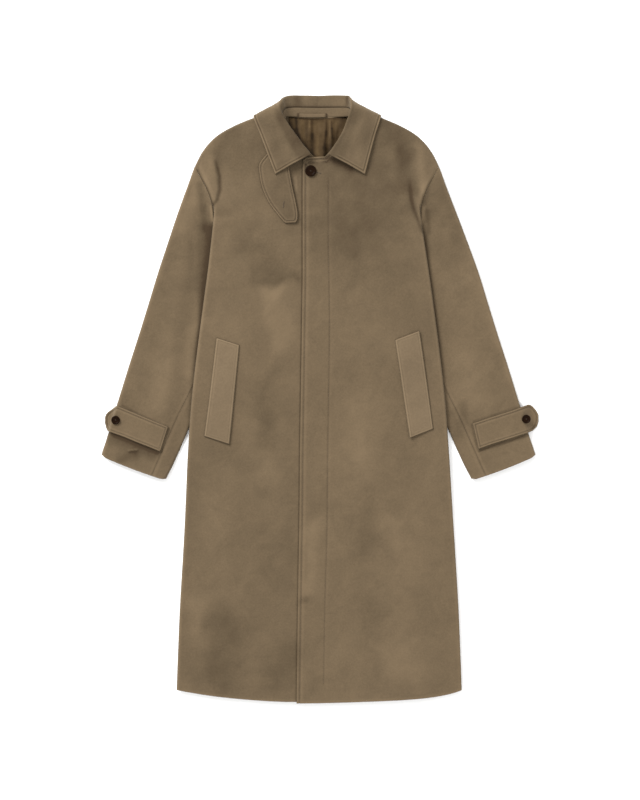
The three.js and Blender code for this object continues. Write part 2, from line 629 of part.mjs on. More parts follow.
// The cuff tabs, from their sewn end to the rounded tip beyond the sleeve's outer edge.
const tabRows = {
  left: [
    { lowX: 308.5, lowY: -98, topX: 299.5, topY: -48 },
    { lowX: 334, lowY: -90, topX: 324, topY: -40 },
    { lowX: 360, lowY: -82, topX: 349, topY: -32 },
    { lowX: 385, lowY: -74, topX: 374, topY: -24 },
    { lowX: 406, lowY: -67, topX: 396, topY: -17 },
    { lowX: 416, lowY: -63, topX: 411, topY: -15 },
    { lowX: 423, lowY: -55, topX: 421.5, topY: -23 },
    { lowX: 426, lowY: -45, topX: 426, topY: -34 },
  ],
  right: [
    { lowX: -310, lowY: -104.5, topX: -294.5, topY: -56 },
    { lowX: -333, lowY: -95, topX: -318, topY: -46.5 },
    { lowX: -356, lowY: -86, topX: -341, topY: -37 },
    { lowX: -380, lowY: -76, topX: -365, topY: -27 },
    { lowX: -398, lowY: -69, topX: -387, topY: -18 },
    { lowX: -409, lowY: -64, topX: -402, topY: -18.5 },
    { lowX: -415, lowY: -56, topX: -413, topY: -27 },
    { lowX: -417.5, lowY: -46, topX: -417.5, topY: -37 },
  ],
};

// A dished button with a raised rim and four thread holes, standing on its thread.
const buttons = {
  neck: { x: -17.5, y: 442.7, diameter: 22, height: 3.4, holes: 2.1, spacing: 2.4 },
  left: { x: 400.5, y: -41, diameter: 17, height: 3, holes: 1.7, spacing: 1.9 },
  right: { x: -397.4, y: -42, diameter: 17, height: 3, holes: 1.7, spacing: 1.9 },
};
const wasm = await Module();
wasm.setup();

function toManifold(geometry) {
  const merged = mergeVertices(geometry.deleteAttribute("uv").deleteAttribute("normal"), 1e-4);
  const mesh = new wasm.Mesh({
    numProp: 3,
    vertProperties: new Float32Array(merged.attributes.position.array),
    triVerts: new Uint32Array(merged.index.array),
  });
  return new wasm.Manifold(mesh);
}

function fromManifold(solid) {
  const mesh = solid.getMesh();
  const geometry = new THREE.BufferGeometry();
  geometry.setAttribute("position", new THREE.Float32BufferAttribute(mesh.vertProperties, 3));
  geometry.setIndex([...mesh.triVerts]);
  geometry.computeVertexNormals();
  return geometry;
}

function button({ x, y, diameter, height, holes, spacing }, base) {
  const radius = diameter / 2;
  const profile = [
    [0, 0],
    [radius * 0.7, 0],
    [radius, height * 0.45],
    [radius, height * 0.75],
    [radius * 0.9, height],
    [radius * 0.72, height],
    [radius * 0.6, height * 0.7],
    [0, height * 0.7],
  ].map(([r, z]) => new THREE.Vector2(r, z));
  let solid = toManifold(new THREE.LatheGeometry(profile, 28).rotateX(Math.PI / 2));
  for (const [dx, dy] of [[1, 1], [-1, 1], [-1, -1], [1, -1]]) {
    const hole = new THREE.CylinderGeometry(holes / 2, holes / 2, 2 * height, 10).rotateX(Math.PI / 2);
    hole.translate(dx * spacing, dy * spacing, 0);
    solid = solid.subtract(toManifold(hole));
  }
  return fromManifold(solid).translate(x, y, base + layGap);
}

const buttonOn = (mesh, size) => button(size, topNear([mesh], size.x, size.y, size.diameter / 2));

const colours = { cloth: 0x7c6b53, collar: 0x84745c, lining: 0x5f4a36, button: 0x2a1a10 };
const material = (color, roughness) => new THREE.MeshStandardMaterial({ color, roughness, metalness: 0 });
const wool = () => material(colours.cloth, 0.95);
const collarWool = () => material(colours.collar, 0.95);
const liningTwill = () => material(colours.lining, 0.6);
const horn = () => material(colours.button, 0.35);

const coat = new THREE.Group();
function add(name, geometry, finish = wool()) {
  const mesh = new THREE.Mesh(geometry, finish);
  mesh.name = name;
  coat.add(mesh);
  return mesh;
}

const frontLeft = add("front_left", frontPanel(1));
const frontRight = add("front_right", frontPanel(-1));
const back = add("back", backPanel());
const sleeveUpperLeft = add("sleeve_upper_left", upperSleeve(1));
const sleeveUnderLeft = add("sleeve_under_left", underSleeve(1));
const sleeveUpperRight = add("sleeve_upper_right", upperSleeve(-1));
const sleeveUnderRight = add("sleeve_under_right", underSleeve(-1));
const latch = add("throat_latch", laidPiece(latchRows, 5, 15, weltCloth, [frontRight]));
const stand = add("collar_stand", collarStand(), collarWool());
add("collar_fall", collarFall([frontLeft, frontRight, latch]), collarWool());
add("back_lining", backLining([back]), liningTwill());
add("hanger_loop", hangerLoop([stand]), liningTwill());
add("pocket_welt_left", laidPiece(weltRows.left, 4, 7, weltCloth, [frontLeft], 1));
add("pocket_welt_right", laidPiece(weltRows.right, 4, 7, weltCloth, [frontRight], 1));
const cuffTab = (pairs, sleeve) => laidPiece(pairs, 4, 15, weltCloth, sleeve);
const tabLeft = add("cuff_tab_left", cuffTab(tabRows.left, [sleeveUpperLeft, sleeveUnderLeft]));
const tabRight = add("cuff_tab_right", cuffTab(tabRows.right, [sleeveUpperRight, sleeveUnderRight]));
add("button_neck", buttonOn(frontLeft, buttons.neck), horn());
add("button_cuff_left", buttonOn(tabLeft, buttons.left), horn());
add("button_cuff_right", buttonOn(tabRight, buttons.right), horn());

// The coat's outline is centred on the origin, and its underside rests at zero.
const bounds = new THREE.Box3().setFromObject(coat);
const origin = bounds.getCenter(new THREE.Vector3()).setZ(bounds.min.z);
coat.children.forEach((mesh) => mesh.geometry.translate(-origin.x, -origin.y, -origin.z));

export default coat;
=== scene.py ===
import bpy
import math
import numpy as np
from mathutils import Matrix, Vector
from mathutils.bvhtree import BVHTree


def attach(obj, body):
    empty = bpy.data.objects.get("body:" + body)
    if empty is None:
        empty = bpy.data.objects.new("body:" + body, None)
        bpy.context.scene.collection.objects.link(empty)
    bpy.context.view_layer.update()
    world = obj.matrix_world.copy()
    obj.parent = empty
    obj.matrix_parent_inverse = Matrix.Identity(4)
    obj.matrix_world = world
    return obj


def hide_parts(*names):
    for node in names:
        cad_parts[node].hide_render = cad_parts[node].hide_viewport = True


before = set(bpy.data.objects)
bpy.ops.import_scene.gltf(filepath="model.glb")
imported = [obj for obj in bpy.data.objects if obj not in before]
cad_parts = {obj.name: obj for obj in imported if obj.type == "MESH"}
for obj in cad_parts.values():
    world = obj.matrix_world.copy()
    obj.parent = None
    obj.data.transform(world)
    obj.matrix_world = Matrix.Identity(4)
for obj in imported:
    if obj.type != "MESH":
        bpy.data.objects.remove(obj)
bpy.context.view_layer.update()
print("frame loaded")

# Places in the tables are millimetres from the coat's own zero, as the pattern has them.
outlineShift = np.array([-0.35, 1.08, 0.0])
coatMiddle = -3.0
seamGap = 0.3
layGap = 0.5
toMetres, toMillimetres = 0.001, 1000
skyHeight = 200.0
farAway = 1e9


def readCurve(keys, values, at):
    keys, values = np.asarray(keys, float), np.asarray(values, float)
    if keys[-1] < keys[0]:
        keys, values = keys[::-1], values[::-1]
    last = len(keys) - 1
    before = np.maximum(np.arange(last + 1) - 1, 0)
    after = np.minimum(np.arange(last + 1) + 1, last)
    slopes = (values[after] - values[before]) / (keys[after] - keys[before])
    at = np.asarray(at, float)
    i = np.clip(np.searchsorted(keys, at, side="right") - 1, 0, last - 1)
    span = keys[i + 1] - keys[i]
    t = np.clip((at - keys[i]) / span, 0, 1)
    start = (2 * t**3 - 3 * t**2 + 1) * values[i] + (t**3 - 2 * t**2 + t) * slopes[i] * span
    return start + (3 * t**2 - 2 * t**3) * values[i + 1] + (t**3 - t**2) * slopes[i + 1] * span


def readRows(values, at):
    return readCurve(np.arange(len(values)), values, at)


def readStraight(values, at):
    return np.interp(at, np.arange(len(values)), values)


def ease(value, low, high):
    t = np.clip((value - low) / (high - low), 0, 1)
    return t * t * (3 - 2 * t)


def mix(a, b, t):
    return a + (b - a) * t


def bell(t):
    return np.exp(-t * t)


# A soft even unevenness of the cloth, from a few crossing waves, about -1 to 1.
def waver(x, y, length, turn=0.0):
    a, b = x / length, y / length
    waves = np.sin(1.7 * a + 0.6 * b + 1.3 + turn) + np.sin(-0.8 * a + 1.9 * b + 0.4 + 2 * turn)
    return (waves + np.sin(2.9 * a - 1.3 * b + 2.1 + 3 * turn) * np.sin(0.9 * b + turn)) / 3


# Mesh makers

def makeObject(name, points, faces, material, shade=None):
    mesh = bpy.data.meshes.new(name)
    mesh.from_pydata(((np.asarray(points) + outlineShift) * toMetres).tolist(), [], faces)
    mesh.polygons.foreach_set("use_smooth", [True] * len(mesh.polygons))
    tones = np.zeros(len(points)) if shade is None else np.asarray(shade, float)
    mesh.attributes.new("tone", "FLOAT", "POINT").data.foreach_set("value", tones.astype(np.float32))
    mesh.update()
    piece = bpy.data.objects.new(name, mesh)
    bpy.context.scene.collection.objects.link(piece)
    piece.data.materials.append(material)
    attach(piece, "root")
    return piece


# Cloth from two equal grids of points, its outer and its inner face, closed round the rim.
def clothFaces(rows, columns):
    at = np.arange(rows * columns).reshape(rows, columns)
    a, b, c, d = at[:-1, :-1], at[:-1, 1:], at[1:, 1:], at[1:, :-1]
    outer = np.stack([a, b, c, d], -1).reshape(-1, 4)
    inner = np.stack([a, d, c, b], -1).reshape(-1, 4) + rows * columns
    rim = np.concatenate([at[0, :-1], at[:-1, -1], at[-1, :0:-1], at[:0:-1, 0]])
    after = np.roll(rim, -1)
    edge = np.stack([rim, rim + rows * columns, after + rows * columns, after], -1)
    return np.concatenate([outer, inner, edge]).tolist()


def makeCloth(name, outer, inner, material, shade=None):
    rows, columns = outer.shape[:2]
    points = np.concatenate([outer.reshape(-1, 3), inner.reshape(-1, 3)])
    tones = None
    if shade is not None:
        tones = np.concatenate([np.broadcast_to(shade, (rows, columns)).ravel(), np.zeros(rows * columns)])
    return makeObject(name, points, clothFaces(rows, columns), material, tones)


# The inner face of a grid, a thickness behind it along its own normals.
def behind(outer, thickness):
    across = np.gradient(outer, axis=1)
    along = np.gradient(outer, axis=0)
    normal = np.cross(across, along)
    normal /= np.linalg.norm(normal, axis=2, keepdims=True) + 1e-9
    return outer - normal * np.asarray(thickness)[..., None]


def surfaceOf(*pieces):
    points, faces = [], []
    for piece in pieces:
        start = len(points)
        points += [v.co * toMillimetres - Vector(outlineShift) for v in piece.data.vertices]
        faces += [[start + i for i in p.vertices] for p in piece.data.polygons]
    return BVHTree.FromPolygons(points, faces)


# What a place lies on: the point below it and the normal there, or None for both
def dropOn(surface, x, y):
    point, normal, _, _ = surface.ray_cast(Vector((x, y, skyHeight)), Vector((0, 0, -1)))
    return (None, None) if point is None else (np.array(point), np.array(normal))


def topOf(surface, x, y, otherwise):
    point, _ = dropOn(surface, x, y)
    return otherwise if point is None else point[2]


def distanceTo(line, x, y):
    best = np.full(np.shape(x), farAway)
    for (ax, ay), (bx, by) in zip(line[:-1], line[1:]):
        dx, dy = bx - ax, by - ay
        t = np.clip(((x - ax) * dx + (y - ay) * dy) / (dx * dx + dy * dy + 1e-9), 0, 1)
        best = np.minimum(best, np.hypot(x - ax - t * dx, y - ay - t * dy))
    return best


# Ridges and grooves beside a line, or its light and shade: place from the line, width, amount
def ridges(table, distance):
    return sum(amount * bell((distance - place) / width) for place, width, amount in table)


# Materials
materialSettings = {
    "wool": {"light": (0.116, 0.081, 0.0455), "dark": (0.070, 0.0485, 0.026), "nap": 0.00035},
    "woolLight": {"light": (0.131, 0.093, 0.054), "dark": (0.086, 0.060, 0.034), "nap": 0.00035},
    "lining": {"light": (0.068, 0.043, 0.019), "dark": (0.034, 0.020, 0.008)},
    "horn": {"light": (0.013, 0.005, 0.0015), "dark": (0.004, 0.0015, 0.0005)},
    "thread": {"light": (0.124, 0.089, 0.054), "dark": (0.085, 0.060, 0.036)},
    # Dark thread for sewing the buttons on, also used for the beads that paint the buttonholes' slit shadow
    "buttonThreadAndSlitShadow": {"light": (0.030, 0.018, 0.009), "dark": (0.014, 0.008, 0.004)},
}


# A material and its nodes. What goes into a node is a value or another node's output.
class Finish:
    def __init__(self, name):
        self.material = bpy.data.materials.new(name)
        self.material.use_nodes = True
        self.tree = self.material.node_tree
        self.tree.nodes.clear()
        self.shader = self.add("BsdfPrincipled")
        self.add("OutputMaterial", Surface=self.shader.outputs[0])
        self.place = self.add("TexCoord").outputs["Object"]

    def add(self, kind, **inputs):
        node = self.tree.nodes.new("ShaderNode" + kind)
        self.feed(node, inputs)
        return node

    def feed(self, node, inputs):
        for socket, value in inputs.items():
            if hasattr(value, "node"):
                self.tree.links.new(value, node.inputs[socket])
            else:
                node.inputs[socket].default_value = value

    def noise(self, scale, detail=3.0, rough=0.55, stretch=(1, 1, 1), distortion=0.0):
        stretched = self.add("Mapping", Vector=self.place, Scale=stretch).outputs[0]
        texture = self.add("TexNoise", Vector=stretched, Scale=scale, Detail=detail, Roughness=rough,
                           Distortion=distortion)
        return texture.outputs["Fac"]

    def calc(self, kind, a, b):
        node = self.add("Math")
        node.operation = kind
        self.feed(node, {0: a, 1: b})
        return node.outputs[0]

    # A base value and some outputs, each by its share
    def mixed(self, base, *parts):
        total, *others = (self.calc("MULTIPLY", output, share) for output, share in parts)
        for other in others:
            total = self.calc("ADD", total, other)
        return self.calc("ADD", total, base)

    # Lighter or darker by the tone that the mesh carries at each point: nap, and painted light and shade
    def toned(self, value, share):
        carried = self.add("Attribute")
        carried.attribute_name = "tone"
        return self.calc("ADD", value, self.calc("MULTIPLY", carried.outputs["Fac"], share))

    def ramp(self, value, stops):
        node = self.add("ValToRGB")
        self.feed(node, {0: value})
        elements = node.color_ramp.elements
        while len(elements) < len(stops):
            elements.new(0.5)
        for element, (position, colour) in zip(elements, stops):
            element.position = position
            element.color = (*colour, 1)
        return node.outputs["Color"]

    def bump(self, height, strength, distance, under=None):
        node = self.add("Bump", Height=height, Strength=strength, Distance=distance)
        if under is not None:
            self.feed(node, {"Normal": under})
        return node.outputs["Normal"]


def scaled(colour, *shares):
    return tuple(share * value for share, value in zip(shares * 3 if len(shares) == 1 else shares, colour))


# Felted wool: clouded where the nap lies in different ways, with fine fibres and a soft sheen.
def makeWool(name, settings):
    finish = Finish(name)
    cloud = finish.noise(scale=7.0, detail=4.0, rough=0.6, distortion=0.6)
    patch = finish.noise(scale=26.0, detail=5.0, rough=0.62, distortion=0.8)
    fleck = finish.noise(scale=260.0, rough=0.7)
    fibre = finish.noise(scale=1500.0, detail=2.0, rough=0.6, stretch=(1.0, 0.35, 1.0))
    tone = finish.mixed(0.11, (cloud, 0.2), (patch, 0.22), (fleck, 0.2), (fibre, 0.16))
    light, dark = settings["light"], settings["dark"]
    middle = tuple((a + b) / 2 for a, b in zip(light, dark))
    # The darkest and lightest stops are reached through the mesh's tone: deep where it paints shade, bright
    # where it paints highlights
    deep, bright = scaled(dark, 0.5, 0.43, 0.35), scaled(light, 1.28)
    stops = [(0.14, deep), (0.38, dark), (0.5, middle), (0.62, light), (0.86, bright)]
    dents = finish.bump(finish.noise(scale=24.0, rough=0.5, distortion=0.5), 0.35, 0.003)
    soft = finish.bump(finish.noise(scale=90.0, detail=4.0, rough=0.6), 0.5, 0.0009, dents)
    finish.feed(finish.shader, {
        "Base Color": finish.ramp(finish.toned(tone, 0.32), stops),
        "Roughness": finish.mixed(0.86, (patch, 0.12)),
        "Specular IOR Level": 0.22,
        "Sheen Weight": 0.14,
        "Sheen Roughness": 0.5,
        "Sheen Tint": (0.9, 0.78, 0.6, 1),
        "Normal": finish.bump(fibre, 0.45, settings["nap"], soft),
    })
    return finish.material


# The lining is a smooth twill with fine slanted ribs and a faint sheen.
def makeLining(name, settings):
    finish = Finish(name)
    ribs = finish.add("TexWave", Vector=finish.place, Scale=420.0, Distortion=0.4)
    ribs.bands_direction = "DIAGONAL"
    tone = finish.mixed(0.1, (finish.noise(scale=60.0), 0.6), (ribs.outputs["Fac"], 0.2))
    light, dark = settings["light"], settings["dark"]
    # The lowest and highest stops are reached through the mesh's tone, which paints the shade and light of
    # the gathers and the collar's shadow
    stops = [(0.08, scaled(dark, 0.45)), (0.32, dark), (0.68, light), (0.95, scaled(light, 1.4))]
    finish.feed(finish.shader, {
        "Base Color": finish.ramp(finish.toned(tone, 0.45), stops),
        "Roughness": finish.mixed(0.5, (finish.noise(scale=40.0), 0.2)),
        "Specular IOR Level": 0.08,
        "Normal": finish.bump(ribs.outputs["Fac"], 0.3, 0.0002),
    })
    return finish.material


# Horn: dark streaks under a polished face.
def makeHorn(name, settings):
    finish = Finish(name)
    streak = finish.noise(scale=180.0, detail=4.0, rough=0.6, stretch=(1, 4, 1), distortion=1.5)
    finish.feed(finish.shader, {
        "Base Color": finish.ramp(streak, [(0.35, settings["dark"]), (0.7, settings["light"])]),
        "Roughness": finish.mixed(0.34, (finish.noise(scale=900.0), 0.12)),
        "Specular IOR Level": 0.04,
        "Normal": finish.bump(finish.noise(scale=700.0), 0.1, 0.0001),
    })
    return finish.material


def makeThread(name, settings):
    finish = Finish(name)
    ply = finish.noise(scale=2400.0, detail=2.0, rough=0.5)
    finish.feed(finish.shader, {
        "Base Color": finish.ramp(ply, [(0.3, settings["dark"]), (0.7, settings["light"])]),
        "Roughness": 0.75,
        "Specular IOR Level": 0.2,
        "Sheen Weight": 0.04,
        "Normal": finish.bump(ply, 0.4, 0.0001),
    })
    return finish.material


wool = makeWool("woolCoating", materialSettings["wool"])
woolLight = makeWool("woolPressed", materialSettings["woolLight"])
lining = makeLining("liningTwill", materialSettings["lining"])
horn = makeHorn("hornButton", materialSettings["horn"])
thread = makeThread("woolThread", materialSettings["thread"])
buttonThreadAndSlitShadow = makeThread("buttonThreadAndSlitShadow", materialSettings["buttonThreadAndSlitShadow"])
print("materials made")

# The body: how it lies, and its outline from the hem to the shoulder seam. The front's inner
# edge is its front edge and then its neckline; its side is the fold and then the armhole.
bodySettings = {
    "cloth": 2.2,
    "foldRadius": 4.5,
    "loft": 3.2,
    "sideLift": 7.5,
    "drape": 110.0,
    "armpit": (374, 440),
    "collarLift": 4.4,
    "collarFoot": (462, 520),
    "collarSide": (122, 150),
    "underLap": 2.8,
    "lapX": (-78, -44),
}
# leftX, leftY, rightX, rightY, sideX, sideY, backY
bodyRows = np.array([
    (-47, -594, 8.5, -592, 277.5, -568, -592),
    (-46, -510, 9, -510, 275, -500, -510),
    (-44.4, -410, 9.6, -410, 271, -405, -410),
    (-42.8, -305, 10.2, -305, 265, -303, -305),
    (-40.6, -200, 11, -200, 259, -200, -200),
    (-38.8, -100, 11.8, -100, 253.5, -100, -100),
    (-37.2, 0, 12.4, 0, 246, 0, 0),
    (-35.6, 100, 13, 100, 234.5, 100, 100),
    (-34.2, 195, 13.6, 195, 222, 195, 195),
    (-32.9, 285, 14.7, 285, 210, 283, 285),
    (-31.2, 368, 16.5, 366, 201, 358, 366),
    (-30.6, 418, 17, 415, 204, 377, 410),
    (-30.4, 462, 17, 456, 208.5, 393, 450),
    (-23, 467.6, -1, 465, 214, 406.5, 474),
    (13, 469.6, -10, 471, 220, 418, 495),
    (40, 499, -40, 499, 225.5, 428, 513),
    (57, 525, -57, 525, 230.5, 437.5, 529),
    (65, 551, -65, 551, 235, 447, 541.5),
    (65, 556, -65, 556, 237, 452.5, 546),
])
leftX, leftY, rightX, rightY, sideX, sideY, backY = bodyRows.T
# Rows of the underarm, the neck's corner at the front edge and the shoulder seam
underarmRow, cornerRow, shoulderRow = 10, 12, 17
# x from the coat's middle, y
shoulderLine = np.array([
    (65, 556), (97, 551.2), (128, 543.3), (160, 530.6),
    (193, 511.8), (212, 493.8), (226, 474.5), (237, 452.5),
])
# The sleeve's folded edges: outerX, outerY, innerX, innerY
sleeveRows = np.array([
    (237, 452.5, 201, 358),
    (243, 437, 200.4, 345),
    (250, 417, 197.5, 324),
    (272, 358, 176, 288),
    (293, 299, 163, 242),
    (313, 241, 161, 190),
    (331, 182, 169, 138),
    (349, 124, 188, 80),
    (368, 65, 216, 15),
    (386, 7, 246, -46),
    (404, -52, 271, -103),
    (422.5, -113, 297, -160.5),
])


# The coat doesn't lie quite straight: below the waist and above the chest it lies to one side.
def sway(y):
    return 1.6 * (1 - ease(y, -300, -60)) - 3 * ease(y, 220, 420)


# The sleeves' inner edges lift the body's sides, and the collar its neck.
def bodyFloor(x, y):
    s = bodySettings
    innerX = np.append(sleeveRows[:, 2], 345)
    innerY = np.append(sleeveRows[:, 3], -260)
    away = np.abs(x - coatMiddle)
    inner = readCurve(innerY, innerX, y) - 10
    overSleeve = ease(away, inner - s["drape"], inner) * (1 - ease(y, *s["armpit"]))
    overCollar = ease(y, *s["collarFoot"]) * (1 - ease(away, *s["collarSide"]))
    return s["sideLift"] * overSleeve + s["collarLift"] * overCollar


# From the coat's middle to the body's side, below the underarm
def bodySideAt(y):
    rows = slice(underarmRow + 1)
    return readCurve(sideY[rows], sideX[rows], np.minimum(y, sideY[underarmRow]))


# Soft folds of the fronts: x, y, toX, toY, width, height
frontFolds = np.array([
    (201, 486, 208, 400, 13, 3.2),
    (176, 486, 186, 404, 13, -2.2),
    (-207, 484, -210, 392, 13, 3.2),
    (-184, 482, -192, 396, 12, -2.2),
    (95, 380, 130, 60, 46, 1.6),
    (-110, 330, -118, 120, 42, 1.4),
    (-105, -20, -96, -190, 34, -1.6),
    (110, -150, 150, -560, 48, 2.0),
    (-160, -370, -150, -592, 40, -2.0),
    (-215, -180, -228, -560, 26, 1.8),
])
# Crisp folds where the fronts pull at the armholes, and how high up they go; by their tone the troughs get
# painted shade and the ridges a painted highlight
armFolds = [
    {"width": 3.6, "height": -2.0, "tone": -0.95, "top": 480,
     "line": [(-202.4, 459.4), (-195.4, 431.7), (-194.4, 403.8), (-199.5, 384), (-208.3, 374)]},
    {"width": 6.5, "height": 1.6, "tone": 0.3, "top": 500,
     "line": [(-212, 468), (-206, 432), (-204, 404), (-207, 388)]},
    {"width": 3.6, "height": -1.7, "tone": -0.85, "top": 432,
     "line": [(174, 432), (176.1, 403.8), (177.1, 387.9), (182.1, 366), (191, 345), (199.5, 322)]},
    {"width": 9, "height": 1.8, "tone": 0.3, "top": 520,
     "line": [(190, 492), (196, 452), (199, 416), (204, 396)]},
    {"width": 4.5, "height": 1.2, "tone": 0.3, "top": 430,
     "line": [(187, 390), (191, 372), (195, 358)]},
]
# Smaller creases, only in the cloth that shows: x, y, toX, toY, width, height
frontCreases = np.array([
    (-150, 300, -95, 262, 9, -0.7),
    (-60, 235, -95, 170, 10, 0.8),
    (-140, 40, -95, -40, 12, 0.7),
    (120, 300, 175, 268, 10, 0.6),
    (60, 210, 110, 232, 9, -0.6),
    (-215, 330, -150, 352, 9, 0.8),
    (205, 330, 150, 350, 9, 0.8),
    (-205, 250, -150, 285, 12, -0.7),
    (60, -240, 84, -330, 12, 0.6),
    (-120, -330, -160, -395, 14, 0.7),
    (150, 10, 165, -60, 11, -0.5),
    (-190, -330, -205, -420, 12, -0.7),
    (205, -300, 214, -420, 14, 0.7),
    (0, -180, 30, -260, 10, 0.5),
    (-18, 420, 40, 398, 7, -0.7),
])


# Where the cloth is painted lighter or darker: partly nap brushed different ways, partly painted light and
# shade on folds, at the armholes, shoulders and under a cuff tab: x, y, toX, toY, width, tone
napAndShadingMarks = np.array([
    (160, 484, 171, 400, 22, -0.6),
    (-184, 494, -116, 436, 40, -0.25),
    (60, 470, 40, 340, 80, -0.38),
    (130, 400, 100, 290, 60, -0.24),
    (110, 536, 170, 512, 34, -0.4),
    (-150, 530, -60, 470, 60, -0.2),
    (-140, 312, -138, 296, 30, -0.3),
    (-116, 258, -52, 236, 22, -0.26),
    (-95, 196, -78, 110, 24, 0.5),
    (-106, 204, -84, 200, 12, 0.25),
    (-118, 231, -52, 228, 11, -0.3),
    (-64, 190, -62, 112, 16, 0.17),
    (-103, 20, -107, -100, 24, -0.3),
    (-145, -61, -98, -149, 22, 0.2),
    (-185, -440, -200, -549, 40, -0.42),
    (-240, -393, -235, -471, 24, 0.3),
    (-90, -545, -60, -500, 28, -0.34),
    (-14, -256, -19, -373, 19, 0.4),
    (-36, -398, -34, -400, 7, -0.5),
    (79, -10, 74, -120, 30, 0.3),
    (89, -198, 84, -286, 24, -0.2),
    (92, -395, 100, -529, 28, -0.16),
    (152, -250, 162, -520, 40, 0.18),
    (60, -500, 190, -520, 44, 0.22),
    (70, -200, 170, -270, 50, 0.12),
    (-150, -300, -120, -340, 60, -0.1),
    (-192, -150, -204, -380, 26, 0.12),
    (-244, 420, -266, 340, 22, 0.3),
    (-292, 280, -350, 36, 26, -0.1),
    (264, 330, 310, 180, 30, 0.15),
    (-379, -3, -372, -12, 22, -0.26),
    (-300, 70, -314, -10, 22, 0.28),
    (-248, 140, -262, 40, 14, 0.24),
    (-381, -117, -358, -108, 13, -0.6),
    (240, 400, 262, 290, 34, -0.34),
    (288, 80, 300, 0, 30, 0.34),
    (334, 150, 372, 40, 16, 0.2),
    (269, -20, 276, -60, 14, -0.36),
])
# Thin lines of painted light and shade, such as a painted highlight on a crease's lit edge and the painted
# shadow under a tab
lightAndShadeLines = np.array([
    (-212.4, 371.9, -209.8, 346, 2.8, 0.9),
    (-233, 414, -224, 332, 8, -0.55),
    (-47.5, 431, -45.5, 406, 2.6, 0.5),
    (15, 468, 60, 447, 9, -0.8),
    (-40, 468, -18, 470, 5, -0.6),
    (202, 370, 198.5, 340, 3.4, 0.6),
    (209, 364, 212, 324, 5, -0.5),
    (-371, -101.5, -356, -100, 1.8, 0.7),
    (-370, -105, -357, -104.5, 2.0, -0.6),
    (-314, -107.5, -398, -73.5, 3.2, -1.2),
    (-322, -110, -404, -76, 12, -0.7),
    (-398, -73.5, -412, -67, 2.6, -0.8),
    (309, -103, 408, -71, 2.2, -1.0),
    (-302, -57, -384, -15, 2.0, -0.5),
    (299, -46, 386, -17, 2.0, -0.4),
    (294, -51, 306, -100, 1.6, -0.45),
    (-293, -58, -308, -104, 1.6, -0.45),
])


def foldSum(table, x, y):
    total = np.zeros(np.shape(x))
    for ax, ay, bx, by, width, height in table:
        total += height * bell(distanceTo([(ax, ay), (bx, by)], x, y) / width)
    return total


def lineSum(folds, key, x, y):
    total = 0
    for fold in folds:
        fading = 1 - ease(y, fold["top"] - 38, fold["top"])
        total = total + fold[key] * bell(distanceTo(fold["line"], x, y) / fold["width"]) * fading
    return total


# The marks' edges wander, as brushed nap does; the thin lines of painted light and shade are added after.
def napAndShadingTone(x, y):
    drift = 11 * waver(x, y, 24.0, 2.0)
    broad = foldSum(napAndShadingMarks, x + drift, y + 1.5 * drift) * (1 + 0.3 * waver(x, y, 15.0, 0.6))
    return broad + foldSum(lightAndShadeLines, x, y)


def bodyThickness(x, y):
    inset = bodySideAt(y) - np.abs(x - coatMiddle)
    lofted = mix(ease(inset, 6, 90), 1.0, ease(y, 350, 372))
    unevenness = 0.35 * waver(x, y, 46.0) + 0.2 * waver(x, y, 19.0, 1.0)
    edgeCalm = ease(inset, 0, 20)
    folds = foldSum(frontFolds, x, y) + foldSum(frontCreases, x, y)
    folds = folds + lineSum(armFolds, "height", x + sway(y), y) * edgeCalm
    return 2 * bodySettings["foldRadius"] + bodySettings["loft"] * lofted + folds + unevenness * edgeCalm


def roundShare(place):
    return np.sqrt(np.maximum(0, 1 - place**2))


def foldClosed(at):
    return 1 - ease(at, underarmRow, underarmRow + 1.6)


foldSteps = np.array([0.0, 0.25, 0.5, 0.7, 0.86, 0.96, 1.0])
# Columns from the front edge, closer together at the two lines of stitching
edgeOffsets = np.array([
    0, 0.4, 0.9, 1.6, 2.4, 3.2, 4.0, 4.6, 5.2, 5.8, 6.4, 7.0, 7.8, 9, 11, 13.5, 17, 21, 25, 29, 33, 37, 41,
    44, 46, 47.5, 48.5, 49.3, 50, 50.7, 51.4, 52.1, 52.8, 53.5, 54.2, 55, 56, 57.5, 60, 63,
])
edgeStrip = edgeOffsets[-1]

# Levels of a panel: at, place
mainLevels = np.concatenate([[0, 0.008, 0.02, 0.04, 0.07], np.arange(0.11, 9.0, 0.055),
                             np.arange(9.0, 10.0, 0.04), np.arange(10.0, shoulderRow + 0.001, 0.1)])
levelAt = np.concatenate([mainLevels, shoulderRow + foldSteps[1:]])
levelPlace = np.concatenate([mainLevels * 0, foldSteps[1:]])


def levelOf(depth):
    return levelAt - levelPlace * depth / bodySettings["foldRadius"]


# How the hem climbs from the middle to the side: the left side's corner is the squarer one.
def hemSweep(side, share):
    return 0.5 * share**1.6 + 0.5 * share**9 if side > 0 else share**2.4


